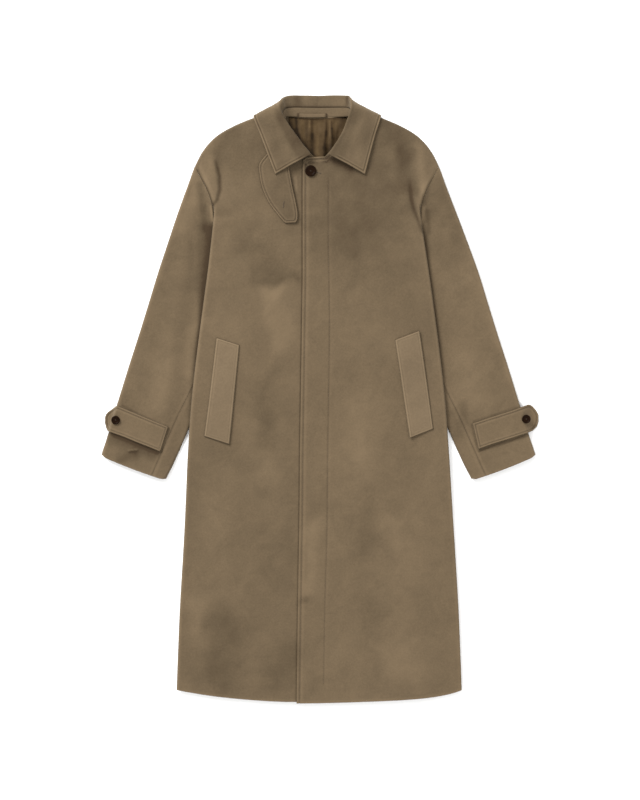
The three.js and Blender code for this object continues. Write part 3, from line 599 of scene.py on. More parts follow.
# The plan of a panel, at x from the coat's middle, for all its levels and columns.
def panelPlan(side, inX, inY, neckX, neckY, depth, flatColumn):
    at = levelOf(depth)[:, None]
    closed = foldClosed(at)
    outX, outY = readRows(sideX, at), readRows(sideY, at)
    radius = bodySettings["foldRadius"]
    reach = mix(1, 1 - depth / radius, closed)
    flat = flatColumn(inX, outX - radius)
    folded = outX - radius * (1 - foldSteps[None, :] * reach)
    x = np.concatenate([flat, folded], 1)
    place = np.concatenate([flat[:1] * 0, foldSteps[None, :]], 1)
    share = np.maximum(0, (x - neckX) / (outX - neckX))
    (firstX, firstY), (lastX, lastY) = shoulderLine[0], shoulderLine[-1]
    topX = mix(firstX, lastX, share)
    topLine = (readCurve(shoulderLine[:, 0], shoulderLine[:, 1], topX) - lastY) / (firstY - lastY)
    span = np.where(np.abs(neckX - inX) < 1e-6, 1.0, neckX - inX)
    neckLine = mix(inY, neckY, np.minimum(1, (x - inX) / span) ** 3)
    bent = np.where(share > 0, mix(outY, neckY, topLine), neckLine)
    sweep = mix(inY, outY, hemSweep(side, np.clip((x - inX) / (outX - inX), 0, 1)))
    y = mix(sweep, bent, ease(at, cornerRow - 1, shoulderRow))
    rounding = mix(1, roundShare(place), closed) * roundShare(levelPlace)[:, None]
    return x, y, rounding


def frontColumns(inX, flatEnd):
    shares = np.linspace(0, 1, 64)[1:-1]
    return np.concatenate([inX + edgeOffsets[None, :], mix(inX + edgeStrip, flatEnd, shares[None, :])], 1)


stitchSettings = {"edge": 5.8, "fly": 50.0, "neckEdge": 4.2, "neck": 10.5, "flyTop": 420.0, "flyFoot": -555.0}
# Beside the front edge, the fly's stitching and the neckline's two rows: place, width, amount. An edge
# rolls over and stitches press the cloth down; the tone paints a highlight on what stands up and shade in
# what lies deep.
frontEdge = {
    "height": [(5.8, 1.6, -0.4), (1.8, 2.0, 0.6)],
    "tone": [(2.2, 1.5, 0.3), (5.8, 1.2, -0.3), (9.6, 2.4, 0.25)],
}
flySeam = {"height": [(0, 1.6, -0.4)], "tone": [(4.0, 2.2, 0.12), (0, 1.5, -0.4)]}
neckEdge = {"height": [(1.6, 1.4, 0.5), (4.2, 1.4, -0.5)], "tone": [(1.4, 1.2, 0.7), (4.2, 1.1, -0.5)]}
neckRow = {"height": [(10.5, 1.5, -0.6)], "tone": [(8, 1.3, 0.55), (10.8, 1.3, -0.8)]}
hemRidges = [(0.06, 0.08, 0.5), (0.28, 0.05, -0.35)]
# Painted light just inside the armhole's seam and painted shade on it: place, width, amount
armholeTones = [(5, 3, 0.35), (0, 2.2, -0.9)]


# The fly's stitching bows away from the front edge in the middle of the coat.
def flyOffset(y):
    return stitchSettings["fly"] + 3.8 * (1 - ease(y, 120, 290)) - 1.7 * (1 - ease(y, -420, -260))


# The left front's stitched lines, and the painted shadow on the right front along the left one's edge
def frontRelief(side, x, y, inX, at):
    if side < 0:
        lapX = np.interp(y, leftY[: cornerRow + 1], leftX[: cornerRow + 1])
        # How dark the painted shadow of the left front's edge is
        depth = mix(0.4, 0.7, ease(y, -450, 120))
        return 0, -depth * bell((x - lapX + 1.1) / 1.5) * (1 - ease(y, 436, 456))
    s = stitchSettings
    offset = side * (x - coatMiddle) - inX
    fromFly, fromNeck = offset - flyOffset(y), distanceTo(necklineAt(0), x, y)
    belowNeck = 1 - ease(at, cornerRow - 0.2, cornerRow)
    pucker = 0.75 + 0.25 * np.sin(y / 9.0) * np.sin(y / 23.0 + 1.0)
    onFly = ease(y, s["flyFoot"] - 8, s["flyFoot"]) * (1 - ease(y, s["flyTop"], s["flyTop"] + 14))
    onNeckRow = ease(offset, 1, 6) * (1 - ease(offset, 46, 60))
    strength = mix(0.5, 1, ease(y, -480, -200))

    def lines(key):
        return (ridges(frontEdge[key], offset) * belowNeck
                + ridges(flySeam[key], fromFly) * onFly * pucker * (strength if key == "tone" else 1)
                + ridges(neckEdge[key], fromNeck) + ridges(neckRow[key], fromNeck) * onNeckRow)

    facing = 0.3 * ease(offset, 6, 16) * (1 - ease(offset, 34, 47)) * onFly
    return lines("height") + facing, lines("tone")


# The left front's neckline, moved down into the cloth by an inset
def necklineAt(inset):
    rows = slice(cornerRow, cornerRow + 4)
    line = np.stack([leftX[rows], leftY[rows]], 1).astype(float)
    way = np.gradient(line, axis=0)
    way /= np.linalg.norm(way, axis=1, keepdims=True)
    return line + inset * np.stack([way[:, 1], -way[:, 0]], 1)


# The painted light and shade along the left armhole's seam show less towards the shoulder.
def armholeShows(side, y):
    return mix(1, 0.25, ease(y, 412, 436)) * mix(0.2, 1, ease(y, 366, 390)) if side > 0 else 1.0


def frontSurface(side, depth):
    at = levelOf(depth)[:, None]
    inXs, inYs = (leftX, leftY) if side > 0 else (rightX, rightY)
    inX = side * (readStraight(inXs, at) - coatMiddle)
    inY = readStraight(inYs, at)
    px, y, rounding = panelPlan(side, inX, inY, inX, inY, depth, frontColumns)
    x = coatMiddle + side * px
    under = 0 if side > 0 else bodySettings["underLap"] * ease(x, *bodySettings["lapX"])
    middle = bodySettings["foldRadius"] + seamGap / 2
    relief, tone = frontRelief(side, x, y, inX, at)
    height = bodyThickness(x, y) + relief - under - depth - middle
    z = bodyFloor(x, y) + middle + (height + ridges(hemRidges, at)) * rounding
    # Nap, painted shade and light on the arm folds, and a painted highlight along the hem
    tone = tone + napAndShadingTone(x + sway(y), y) + lineSum(armFolds, "tone", x + sway(y), y) + 0.5 * bell(at / 0.05)
    # Painted light and shade at the armhole's seam, and a painted highlight along the side fold below it
    onArmhole = ease(at, underarmRow, underarmRow + 1)
    inset = readRows(sideX, at) - np.abs(x - coatMiddle)
    tone += ridges(armholeTones, inset) * onArmhole * (at < shoulderRow - 0.5) * armholeShows(side, y)
    tone += 0.35 * bell((inset - 2) / 3) * (1 - onArmhole)
    return np.stack([x + sway(y), y, z], 2), tone


def makeFront(side, name):
    (outer, tone), (inner, _) = frontSurface(side, 0), frontSurface(side, bodySettings["cloth"])
    if side < 0:
        outer, inner, tone = outer[:, ::-1], inner[:, ::-1], tone[:, ::-1]
    return makeCloth(name, outer, inner, wool, tone)


def backSurface(depth):
    at = levelOf(depth)[:, None]
    inY = readStraight(backY, at)
    neckY = inY + shoulderLine[0, 1] - backY[-1]
    middle = bodySettings["foldRadius"] - seamGap / 2

    def flatColumn(_, flatEnd):
        return np.linspace(0, 1, 62)[None, :-1] * flatEnd

    halves = []
    for side in (1, -1):
        px, y, rounding = panelPlan(side, 0 * at, inY, 0 * at + shoulderLine[0, 0], neckY, depth, flatColumn)
        x = coatMiddle + side * px
        z = bodyFloor(x, y) + middle - (middle - depth) * rounding
        halves.append(np.stack([x + sway(y), y, z], 2))
    right = halves[1][:, 1:][:, ::-1]
    return np.concatenate([right, halves[0]], 1)


frontLeft = makeFront(1, "clothFrontLeft")
frontRight = makeFront(-1, "clothFrontRight")
backOuter, backInner = backSurface(0), backSurface(bodySettings["cloth"])
back = makeCloth("clothBack", backOuter[:, ::-1], backInner[:, ::-1], wool)
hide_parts("front_left")
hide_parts("front_right")
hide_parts("back")
print("body made")

# The sleeves: flattened tubes in two pieces. The under sleeve turns up over the inner fold
# to the forearm seam on the face.
sleeveSettings = {
    "cloth": 2.2,
    "foldRadius": 4.5,
    "loft": 4.2,
    "tuckHeight": 6.2,
    "forearmInset": 30.0,
    "seamStart": (3, 4.5),
    "capRows": 2,
    "capGap": 0.36,
    "hemBow": 2.4,
    "cornerRound": 3.0,
}
# Rows of the armhole where the forearm seam and the inner fold meet it, and the sleeves' last row
seamRow, turnRow, cuffRow = 13, 12, 11
# Places round the inner fold, and the rows of the armhole that they meet
innerPlaces, innerRows = (0, 0.5, 0.86, 1), (turnRow, 11, 10.5, underarmRow)
cuffRidges = [(-0.07, 0.06, 0.5), (-0.4, 0.07, -0.4)]
armholeWay = np.array([sideY[-1] - sideY[underarmRow], sideX[underarmRow] - sideX[-1]])
capShift = armholeWay / np.hypot(*armholeWay) * sleeveSettings["capGap"]
underarmStep = np.hypot(sideX[11] - sideX[underarmRow], sideY[11] - sideY[underarmRow])
# Creases of the sleeves, x from the coat's middle outwards: x, y, toX, toY, width, height
leftSleeveCreases = np.array([
    (236, 430, 214, 372, 7, 1.5),
    (252, 400, 226, 345, 11, -1.4),
    (243, 330, 232, 250, 10, -1.2),
    (300, 230, 262, 205, 12, 1.0),
    (318, 120, 275, 96, 12, -0.8),
    (340, 60, 290, 20, 11, 0.9),
    (352, 10, 318, -20, 9, -0.7),
    (385, -70, 340, -92, 8, 0.8),
    (206, 372, 202, 340, 4, 1.2),
])
rightSleeveCreases = np.array([
    (238, 432, 216, 376, 7, 1.6),
    (250, 405, 222, 350, 10, -1.5),
    (246, 325, 230, 240, 10, -1.2),
    (296, 250, 258, 216, 12, 1.0),
    (322, 140, 280, 118, 12, -0.8),
    (338, 70, 296, 26, 11, 0.8),
    (368.5, -102, 353, -100.5, 2.8, 1.5),
    (362, -111, 348, -113, 8, -1.0),
    (210, 372, 207, 344, 3.4, 1.4),
])


def sleeveHeight(away, y):
    full = 2 * sleeveSettings["foldRadius"] + sleeveSettings["loft"]
    tucked = mix(sleeveSettings["tuckHeight"], full, ease(away - bodySideAt(y), 14, 54))
    return mix(tucked, full, ease(y, 336, 380))


# The shade on a sleeve beside the body's side: broad near the armpit on the right sleeve.
def sleeveShade(side, away, y):
    past = away - bodySideAt(y)
    if side > 0:
        width, strength = 3.5 + 4 * ease(y, 250, 300), 0.8 * ease(y, -80, 160) * (1 - ease(y, 312, 336))
    else:
        width, strength = 5 + 15 * ease(y, 130, 290), 1.35 * ease(y, -120, 150) * (1 - ease(y, 326, 350))
    return -strength * bell(np.maximum(past, 0) / width) * ease(past, -40, -10)


sleeveLevels = np.concatenate([
    np.arange(0, 3, 0.05), np.arange(3, 10.8, 0.045), [10.82, 10.86, 10.9, 10.93, 10.96, 10.98, 11],
])


# Where a column runs across the sleeve, the row of the armhole it meets, and how far round its fold
def columnRun(kind, value, depth, width):
    radius = sleeveSettings["foldRadius"]
    seamAt = width - sleeveSettings["forearmInset"]
    turn = radius * (1 - value * (1 - depth / radius))
    if kind == "outer":
        return turn + 0 * width, shoulderRow + value, value
    if kind == "flat":
        return mix(radius, seamAt, value), mix(shoulderRow, seamRow, value), 0.0
    if kind == "turn":
        return mix(seamAt, width - radius, value), mix(seamRow, turnRow, value), 0.0
    return width - turn, np.interp(value, innerPlaces, innerRows) + depth * value / underarmStep, 0.0


# Where the cap's edge starts at the armhole, on the body's own edge, and how far that stands open
def capEdge(side, upper, at, fold, depth):
    radius = bodySettings["foldRadius"]
    closed = float(foldClosed(at))
    planAt = at - fold * depth / radius
    edgeX, edgeY = float(readRows(sideX, planAt)), float(readRows(sideY, planAt))
    shell = np.array(coatMiddle + side * (edgeX - depth * closed)), np.array(edgeY)
    openness = (1 - closed) * float(roundShare(fold))
    middle = radius + seamGap / 2 * (1 if upper else -1)
    rise = bodyThickness(*shell) - depth - middle if upper else depth - middle
    return edgeX, edgeY, bodyFloor(*shell) + middle + rise * openness, openness


def sleeveSurface(side, columns, depth, creases):
    s = sleeveSettings
    rows = sleeveLevels[:, None]
    outerX, outerY, innerX, innerY = (readRows(sleeveRows[:, k], rows) for k in range(4))
    width = np.hypot(outerX - innerX, outerY - innerY)
    seamShows = ease(rows, *s["seamStart"])
    fromArmhole = ease(rows, 0, s["capRows"])
    grids, tones = [], []
    for kind, value, upper in columns:
        along, at, fold = columnRun(kind, value, depth, width)
        fromSeam = along - width + s["forearmInset"]
        px, py = mix(outerX, innerX, along / width), mix(outerY, innerY, along / width)
        py = py - s["hemBow"] * 4 * (along / width) * (1 - along / width) * ease(rows, cuffRow - 1, cuffRow)
        corner = bell(along / 6) + bell((width - along) / 6)
        py = py + s["cornerRound"] * corner * ease(rows, cuffRow - 0.6, cuffRow)
        height = sleeveHeight(px, py)
        upOrDown = (1 if upper else -1) if kind == "outer" else 0
        middle = height / 2 + seamGap / 2 * upOrDown
        rounding = float(roundShare(value)) if kind in ("outer", "inner") else 1.0
        rise = depth - middle
        if upper:
            calm = ease(along, 2, 14) * ease(width - along, 2, 14) * ease(height, 6.4, 11)
            relief = (foldSum(creases, px, py) + 0.3 * waver(px, py, 30.0)) * calm
            relief -= 0.3 * bell(fromSeam / 2.4) * ease(height, 6.4, 9) * seamShows
            relief += ridges(cuffRidges, rows - cuffRow) * ease(height, 8, 11)
            rise = height + relief - depth - middle
        edgeX, edgeY, edgeZ, openness = capEdge(side, upper, at, fold, depth)
        dip = -0.8 * bell(rows / 0.16) * openness * upper
        capX = coatMiddle + side * (edgeX + capShift[0]) + sway(edgeY)
        x = mix(capX, coatMiddle + side * px + sway(py), fromArmhole)
        y = mix(edgeY + capShift[1], py, fromArmhole)
        grids.append(np.concatenate([x, y, mix(edgeZ, middle + rise * rounding, fromArmhole) + dip], 1))
        # Nap, and painted highlights along the cuff's edge and the outer fold
        tone = napAndShadingTone(x, y) + 0.45 * bell((rows - cuffRow) / 0.05) + 0.3 * bell((along - 3) / 4)
        if upper:
            # Painted light beside the forearm seam and painted shade in it, the painted shade beside the
            # body, and painted shade at the armhole's seam
            seamLightAndShade = 0.22 * bell((np.abs(fromSeam) - 4) / 2.4) - 0.25 * bell(fromSeam / 1.4)
            tone += seamLightAndShade * seamShows + sleeveShade(side, px, y)
            tone -= 0.8 * bell(rows / 0.07) * armholeShows(side, edgeY)
        tones.append(tone)
    return np.stack(grids, 1), np.concatenate(tones, 1)


outerFold = [("outer", p) for p in foldSteps[::-1]]
innerFold = [("inner", p) for p in foldSteps]
flatFace = [("flat", s) for s in np.linspace(0, 1, 70)[1:-1]] + [("flat", 0.994), ("flat", 1.0)]
underFace = [("flat", s) for s in np.linspace(0, 1, 24)[1:]]
turnFace = [("turn", s) for s in (0, 0.04, 0.1, 0.2, 0.35, 0.5, 0.65, 0.8, 0.9)]


def makeSleeve(side, sideName, creases):
    upperColumns = [(k, v, True) for k, v in outerFold + flatFace]
    below = [(k, v, False) for k, v in outerFold + underFace + turnFace[1:] + innerFold]
    above = [(k, v, True) for k, v in turnFace + innerFold[:-1]]
    made = []
    underColumns = above + below[::-1]
    for part, columns, way, seamColumn in (("Upper", upperColumns, 1, -1), ("Under", underColumns, -1, 0)):
        outer, tone = sleeveSurface(side, columns, 0, creases)
        inner, _ = sleeveSurface(side, columns, sleeveSettings["cloth"], creases)
        opening = side * way * seamGap / 4 * mix(0.1, 1, ease(sleeveLevels, *sleeveSettings["seamStart"]))
        outer[:, seamColumn, 0] += opening
        inner[:, seamColumn, 0] += opening
        if side < 0:
            outer, inner, tone = outer[:, ::-1], inner[:, ::-1], tone[:, ::-1]
        piece = makeCloth("clothSleeve" + part + sideName, outer, inner, wool, tone)
        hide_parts("_".join(("sleeve", part, sideName)).lower())
        made.append(piece)
    return made


sleeveUpperLeft, sleeveUnderLeft = makeSleeve(1, "Left", leftSleeveCreases)
sleeveUpperRight, sleeveUnderRight = makeSleeve(-1, "Right", rightSleeveCreases)
print("sleeves made")

# Pieces that lie on a panel, from pairs of edge points along them: lowX, lowY, topX, topY
latchRows = np.array([
    (-100, 478, -66, 468),
    (-118, 455, -60.5, 450),
    (-117.5, 432, -56.5, 428),
    (-112.5, 408, -51.5, 403),
    (-100, 380, -46, 378),
    (-83, 357, -43, 358),
    (-72, 344, -44, 346),
    (-67, 339.5, -47, 340.5),
])
weltLeftRows = np.array([
    (145.5, 113, 193, 131), (155.5, 48, 202.5, 67),
    (165, -16, 211.5, 3), (174.5, -78.5, 220, -60.5),
])
weltRightRows = np.array([
    (-200.5, 117.2, -156, 103), (-208.3, 53, -162.5, 38),
    (-216.2, -11, -169, -26.5), (-224.8, -74.7, -175.8, -90.5),
])
tabLeftRows = np.array([
    (308, -99.5, 296.5, -49.3),
    (334, -90, 324, -40),
    (360, -82, 349, -32),
    (385, -74, 374, -24),
    (406, -67, 397, -15.8),
    (416, -62.5, 409.5, -13.2),
    (423, -55, 420.5, -23),
    (426, -45, 426, -33),
])
tabRightRows = np.array([
    (-310, -104.5, -294.5, -56),
    (-333, -95, -318, -46.5),
    (-356, -86, -341, -37),
    (-380, -76, -365, -27),
    (-398, -69.5, -385, -18.8),
    (-409, -65.5, -394.5, -15.4),
    (-414.5, -62.5, -402, -19.5),
    (-417.4, -55, -415, -29.4),
    (-419, -47, -419, -37.5),
])
laidSettings = {
    "cloth": 2.6,
    "stitchInset": 4.2,
    "grooveWidth": 1.3,
    "droop": 0.05,
    "columns": 14,
    "levels": 60,
}
# Of each: the depth of its stitched groove, how strong the painted light and shade at its edges are, its
# tone, how far its middle and its low edge stand up, and how much its edges roll over
laidLooks = {
    "latch": {"groove": 0.75, "rim": 0.8, "tone": -0.3, "lift": 0.0, "curl": 0.0, "roll": 0.9},
    "welt": {"groove": 0.15, "rim": 0.3, "tone": 0.12, "lift": 0.8, "curl": 0.0, "roll": 1.6},
    "tabLeft": {"groove": 0.5, "rim": 0.6, "tone": 0.0, "lift": 0.0, "curl": 0.8, "roll": 0.9},
    "tabRight": {"groove": 0.5, "rim": 0.6, "tone": -0.05, "lift": 0.0, "curl": 1.4, "roll": 0.9},
}


def outlineOf(rows):
    steps = np.linspace(0, len(rows) - 1, 60)
    low = np.stack([readRows(rows[:, 0], steps), readRows(rows[:, 1], steps)], 1)
    top = np.stack([readRows(rows[:, 2], steps), readRows(rows[:, 3], steps)], 1)
    return np.concatenate([low, top[::-1], low[:1]])


def insetOutline(rows, inset):
    line = outlineOf(rows)[:-1]
    after, before = np.roll(line, -1, 0), np.roll(line, 1, 0)
    way = after - before
    normal = np.stack([-way[:, 1], way[:, 0]], 1)
    normal /= np.linalg.norm(normal, axis=1, keepdims=True) + 1e-9
    centre = line.mean(0)
    if np.sum((centre - line) * normal) < 0:
        normal = -normal
    return line + normal * inset


# Painted light along the rolled edge and beyond the stitched groove, painted shade in the groove and at the
# very edge
def rimLightAndShade(edge, inset):
    return ridges([(1.5, 1.2, 1.0), (inset, 0.9, -0.9), (inset + 2.4, 1.4, 0.5), (0, 0.5, -0.5)], edge)


# Steps from 0 to 1, closer together towards both ends.
def endedSteps(count, length, fine=1.1, border=7.0):
    ends = np.arange(0, border, fine) / length
    return np.concatenate([ends, np.linspace(border / length, 1 - border / length, count), 1 - ends[::-1]])


# How high a stiff piece lies on what is beneath it, with the hollows there bridged
def layOn(beneath, x, y):
    base = np.zeros_like(x)
    level = max(topOf(beneath, *place, 0) for place in zip(x[0], y[0]))
    for at in np.ndindex(x.shape):
        level = max(topOf(beneath, x[at], y[at], 0), level - laidSettings["droop"])
        base[at] = level
    smooth = base.copy()
    for _ in range(30):
        padded = np.pad(smooth, 1, mode="edge")
        smooth = (padded[:-2, 1:-1] + padded[2:, 1:-1] + padded[1:-1, :-2] + padded[1:-1, 2:]) / 4
    return np.maximum(base, smooth)


def makeLaid(name, node, rows, beneath, material, look):
    s = laidSettings
    across = np.hypot(*(rows[0, 2:] - rows[0, :2]))
    along = np.sum(np.hypot(*np.diff(rows[:, :2], axis=0).T))
    u, v = endedSteps(s["columns"], across), endedSteps(s["levels"], along) * (len(rows) - 1)
    lowX, lowY, topX, topY = (readRows(rows[:, k], v)[:, None] for k in range(4))
    x, y = mix(lowX, topX, u[None, :]), mix(lowY, topY, u[None, :])
    edge = distanceTo(outlineOf(rows), x, y)
    relief = -look["groove"] * bell((edge - s["stitchInset"]) / s["grooveWidth"])
    swell = np.sin(np.pi * u)[None, :] * np.sin(np.pi * np.linspace(0, 1, len(v)))[:, None]
    relief += 0.5 * bell((edge - 1.6) / 1.6) + look["lift"] * swell
    relief += 0.15 * waver(x, y, 14.0) * ease(edge, 0, 8)
    curl = look["curl"] * ((1 - u) ** 3)[None, :] * (0.75 + 0.25 * np.sin(v * 1.7))[:, None]
    base = layOn(beneath, x, y) + curl + layGap
    roll = look["roll"] * bell(edge / look["roll"])
    outer = np.stack([x, y, base + s["cloth"] + relief - roll], 2)
    inner = np.stack([x, y, base + 0 * x], 2)
    # Painted light and shade at the rim, the piece's own tone, and a painted shadow along its outline
    tone = look["rim"] * rimLightAndShade(edge, s["stitchInset"]) + look["tone"] - 0.8 * bell(edge / 0.8)
    # Pieces with a weak rim get a painted highlight inside the edge and painted shade at their short ends
    if look["rim"] < 0.5:
        fromEnds = np.minimum(v, v[-1] - v)[:, None] * along / (len(rows) - 1)
        tone = tone + 0.5 * bell((edge - 2.4) / 1.2) - 1.0 * bell(fromEnds / 1.4)
    if np.cross(outer[0, -1] - outer[0, 0], outer[-1, 0] - outer[0, 0])[2] < 0:
        outer, inner, tone = outer[:, ::-1], inner[:, ::-1], tone[:, ::-1]
    piece = makeCloth(name, outer, inner, material, tone)
    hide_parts(node)
    return piece


frontLeftSurface, frontRightSurface = surfaceOf(frontLeft), surfaceOf(frontRight)
leftSleeveSurface = surfaceOf(sleeveUpperLeft, sleeveUnderLeft)
rightSleeveSurface = surfaceOf(sleeveUpperRight, sleeveUnderRight)
latch, weltLeft, weltRight, tabLeft, tabRight = (makeLaid(*row) for row in (
    ("clothThroatLatch", "throat_latch", latchRows, frontRightSurface, wool, laidLooks["latch"]),
    ("clothWeltLeft", "pocket_welt_left", weltLeftRows, frontLeftSurface, woolLight, laidLooks["welt"]),
    ("clothWeltRight", "pocket_welt_right", weltRightRows, frontRightSurface, woolLight, laidLooks["welt"]),
    ("clothCuffTabLeft", "cuff_tab_left", tabLeftRows, leftSleeveSurface, wool, laidLooks["tabLeft"]),
    ("clothCuffTabRight", "cuff_tab_right", tabRightRows, rightSleeveSurface, wool, laidLooks["tabRight"]),
))
print("latch, welts and tabs made")

# The collar, in sections from the centre back to the front point, x from the coat's middle.
collarSettings = {"cloth": 2.6, "standShare": 0.43, "stitchInset": 4.5, "groove": 0.8, "grooveWidth": 1.4}
# neck, roll, mid and edge as x, y, z, then how far the roll and the edge lean to one side
collarRows = np.array([
    (0, 546.2, 9, 0, 591, 9.6, 0, 562, 0.4, 0, 528, 0.4, 3, 3),
    (28, 546.2, 9.4, 30, 591.6, 9.6, 32, 562, 0.4, 36, 528, 0.4, 3, 3),
    (47, 546.5, 12.2, 54, 590.5, 12, 62, 565, 0.4, 76, 530, 0.4, 2, 2),
    (57, 546.5, 15, 63, 585, 22, 84, 566, 1.4, 109, 536, 0.4, -3, -2),
    (62, 545.5, 18, 66, 577, 34, 91.5, 566, 17, 121.5, 551, 1.4, -4, -1),
    (64, 538, 20, 68, 563, 39, 97, 554.5, 31, 123.5, 543, 20, -6, -2.5),
    (57, 525, 20, 61, 543, 37, 88, 527, 31, 111.5, 509, 20, -5, -1),
    (41, 500, 19, 44, 512, 32, 72, 494, 27, 99.5, 472, 19, 0, 1),
    (16, 470.5, 19, 16, 472.5, 27, 53, 453.5, 23, 87.3, 434.2, 17, 3, 3.4),
])


# One line of the collar, by its first column in the table and by how much of the edge's lean it has
def collarLine(start, edgeLean, leans=True):
    row, side = np.abs(collarStations), np.where(collarStations < 0, -1, 1)
    x, y, z = (readRows(collarRows[:, start + k], row) for k in range(3))
    lean = mix(readRows(collarRows[:, 12], row), readRows(collarRows[:, 13], row), edgeLean) * leans
    return np.stack([coatMiddle + lean + side * x, y, np.maximum(z, 0)], 1)


def bezier(a, b, c, t):
    return (1 - t) ** 2 * a + 2 * t * (1 - t) * b + t * t * c


def splineThrough(points, steps):
    lengths = np.concatenate([[0], np.cumsum(np.linalg.norm(np.diff(points, axis=0), axis=1))])
    return np.stack([readCurve(lengths, points[:, k], steps * lengths[-1]) for k in range(3)], 1)


lastCollarRow = len(collarRows) - 1
endSteps = np.arange(0, 0.28, 0.028)
halfStations = np.concatenate([np.linspace(0, lastCollarRow - 0.28, 62), lastCollarRow - endSteps[::-1]])
collarStations = np.concatenate([halfStations[::-1], -halfStations[1:]])
neckSeam, rollLine = collarLine(0, 0, leans=False), collarLine(3, 0)
midLine, edgeLine = collarLine(6, 0.5), collarLine(9, 1)
standSeam = mix(neckSeam, rollLine, collarSettings["standShare"])


# A face of cloth pushed out, or in, along the cloth's thickness
def pushed(outer, inner, relief):
    way = outer - inner
    return outer + way / np.linalg.norm(way, axis=2, keepdims=True) * relief[..., None]


def distanceInSpace(line, points):
    best = np.full(points.shape[:2], farAway)
    for a, b in zip(line[:-1], line[1:]):
        d = b - a
        t = np.clip(np.sum((points - a) * d, 2) / (np.dot(d, d) + 1e-9), 0, 1)
        best = np.minimum(best, np.linalg.norm(points - a - t[..., None] * d, axis=2))
    return best


def makeStand():
    gap = 1.8 * seamGap / np.linalg.norm(standSeam - neckSeam, axis=1, keepdims=True)
    top = mix(standSeam, neckSeam, gap)
    steps = np.array([0, 0.04, 0.1, 0.25, 0.4, 0.6, 0.8, 0.9, 0.96, 1.0])
    outer = np.stack([mix(neckSeam, top, s) for s in steps], 1)
    inner = behind(outer, collarSettings["cloth"])
    sunk = ridges([(1, 0.06, -0.7), (0, 0.06, -0.7)], steps)[None, :]
    # Painted shade along the band's two seams
    tone = ridges([(1, 0.05, -0.9), (0, 0.05, -0.9)], steps)[None, :]
    stand = makeCloth("clothCollarStand", pushed(outer, inner, sunk), inner, wool, tone)
    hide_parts("collar_stand")
    return stand


fallSteps = np.concatenate([[0, 0.02, 0.05], np.linspace(0.09, 0.9, 34), np.linspace(0.915, 1, 9)])


# A section of the fall: from the band's seam over the roll, and down to the edge on the fronts
def fallSection(k, surface):
    seam, roll, mid, edge = standSeam[k], rollLine[k], midLine[k], edgeLine[k]
    end = mix(roll, mid, 0.24) + np.array([0, 0, (mid[2] - roll[2]) * 0.18])
    start, over = mix(roll, seam, 0.3), roll + (roll - seam) * 0.12
    turn = [bezier(start, over, end, t) for t in (0, 0.25, 0.5, 0.75, 1)]
    fall = [mix(end, mid, s) for s in (0.35, 0.7)]
    wing = [mix(mid, edge, s) for s in (0, 0.5, 1)]
    if abs(collarStations[k]) > 4:
        for p in wing:
            around = [(p[0] + dx, p[1] + dy) for dx, dy in ((0, 0), (5, 0), (-5, 0), (0, 5), (0, -5))]
            lowest = max(topOf(surface, *place, -99) for place in around) + layGap + collarSettings["cloth"]
            p[2] = max(p[2], lowest)
    return splineThrough(np.array([seam, *turn, *fall, *wing]), fallSteps)


def makeFall():
    s, along = collarSettings, fallSteps[None, :]
    surface = surfaceOf(frontLeft, frontRight, latch)
    grid = np.array([fallSection(k, surface) for k in range(len(collarStations))])
    inner = behind(grid, s["cloth"])
    toRim = distanceInSpace(np.concatenate([grid[0, ::2], grid[:, -1], grid[-1, ::-2]]), grid)
    onFall = ease(np.arange(len(fallSteps))[None, :], 6, 12)
    edgeRidges = [(s["stitchInset"], s["grooveWidth"], -s["groove"]), (1.8, 1.6, 0.5), (0, 0.9, -0.9)]
    relief = ridges(edgeRidges, toRim) * onFall - 0.7 * bell(along / 0.03)
    relief += 0.5 * waver(grid[..., 0], grid[..., 1], 21.0, 0.5) * ease(toRim, 2, 16) * onFall
    grid = pushed(grid, inner, relief)
    grid[..., 2], inner[..., 2] = np.maximum(grid[..., 2], 0), np.maximum(inner[..., 2], 0)
    x, y, _ = np.moveaxis(grid, 2, 0)
    # Painted light and shade at the rim, painted shade at the band's seam, an uneven tone, and the half at
    # lower x a little darker
    tone = 0.85 * rimLightAndShade(toRim, s["stitchInset"]) * onFall - 0.9 * bell(along / 0.02)
    tone += 0.25 * waver(x, y, 17.0, 1.4) - 0.15 * (x < coatMiddle)
    # The inside of the band is shaded at its ends, and the roll beside the lining.
    onBand = (1 - ease(along, 0.2, 0.3)) * ease(y, 564, 572)
    tone -= ridges([(-43, 9, 0.6), (53, 3.5, 0.9)], x) * onBand
    nearRoll = bell(np.maximum(along - 0.3, 0) / 0.1) * (1 - ease(y, 540, 575))
    tone -= np.where(x < coatMiddle, 0.6, 0.35) * nearRoll
    fall = makeCloth("clothCollarFall", grid, inner, wool, tone)
    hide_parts("collar_fall")
    return fall


collarStand, collarFall = makeStand(), makeFall()
print("collar made")

# The lining behind the neck, gathered a little into the stand's seam: x, width, height
liningSettings = {"cloth": 1.0, "lowY": 440, "leftX": -60, "rightX": 54, "seam": 0.6}
liningGathers = np.array([
    (-52, 5, 1.6),
    (-37, 4.4, 2.2),
    (-27, 2.6, 0.9),
    (-18, 4.6, 2.4),
    (-8, 2.4, 0.8),
    (2, 5.4, 2.0),
    (12, 4.4, 2.4),
    (19, 2.4, 0.8),
    (24, 4.6, 2.2),
    (33, 2.6, 0.8),
    (42, 6, 1.8),
])


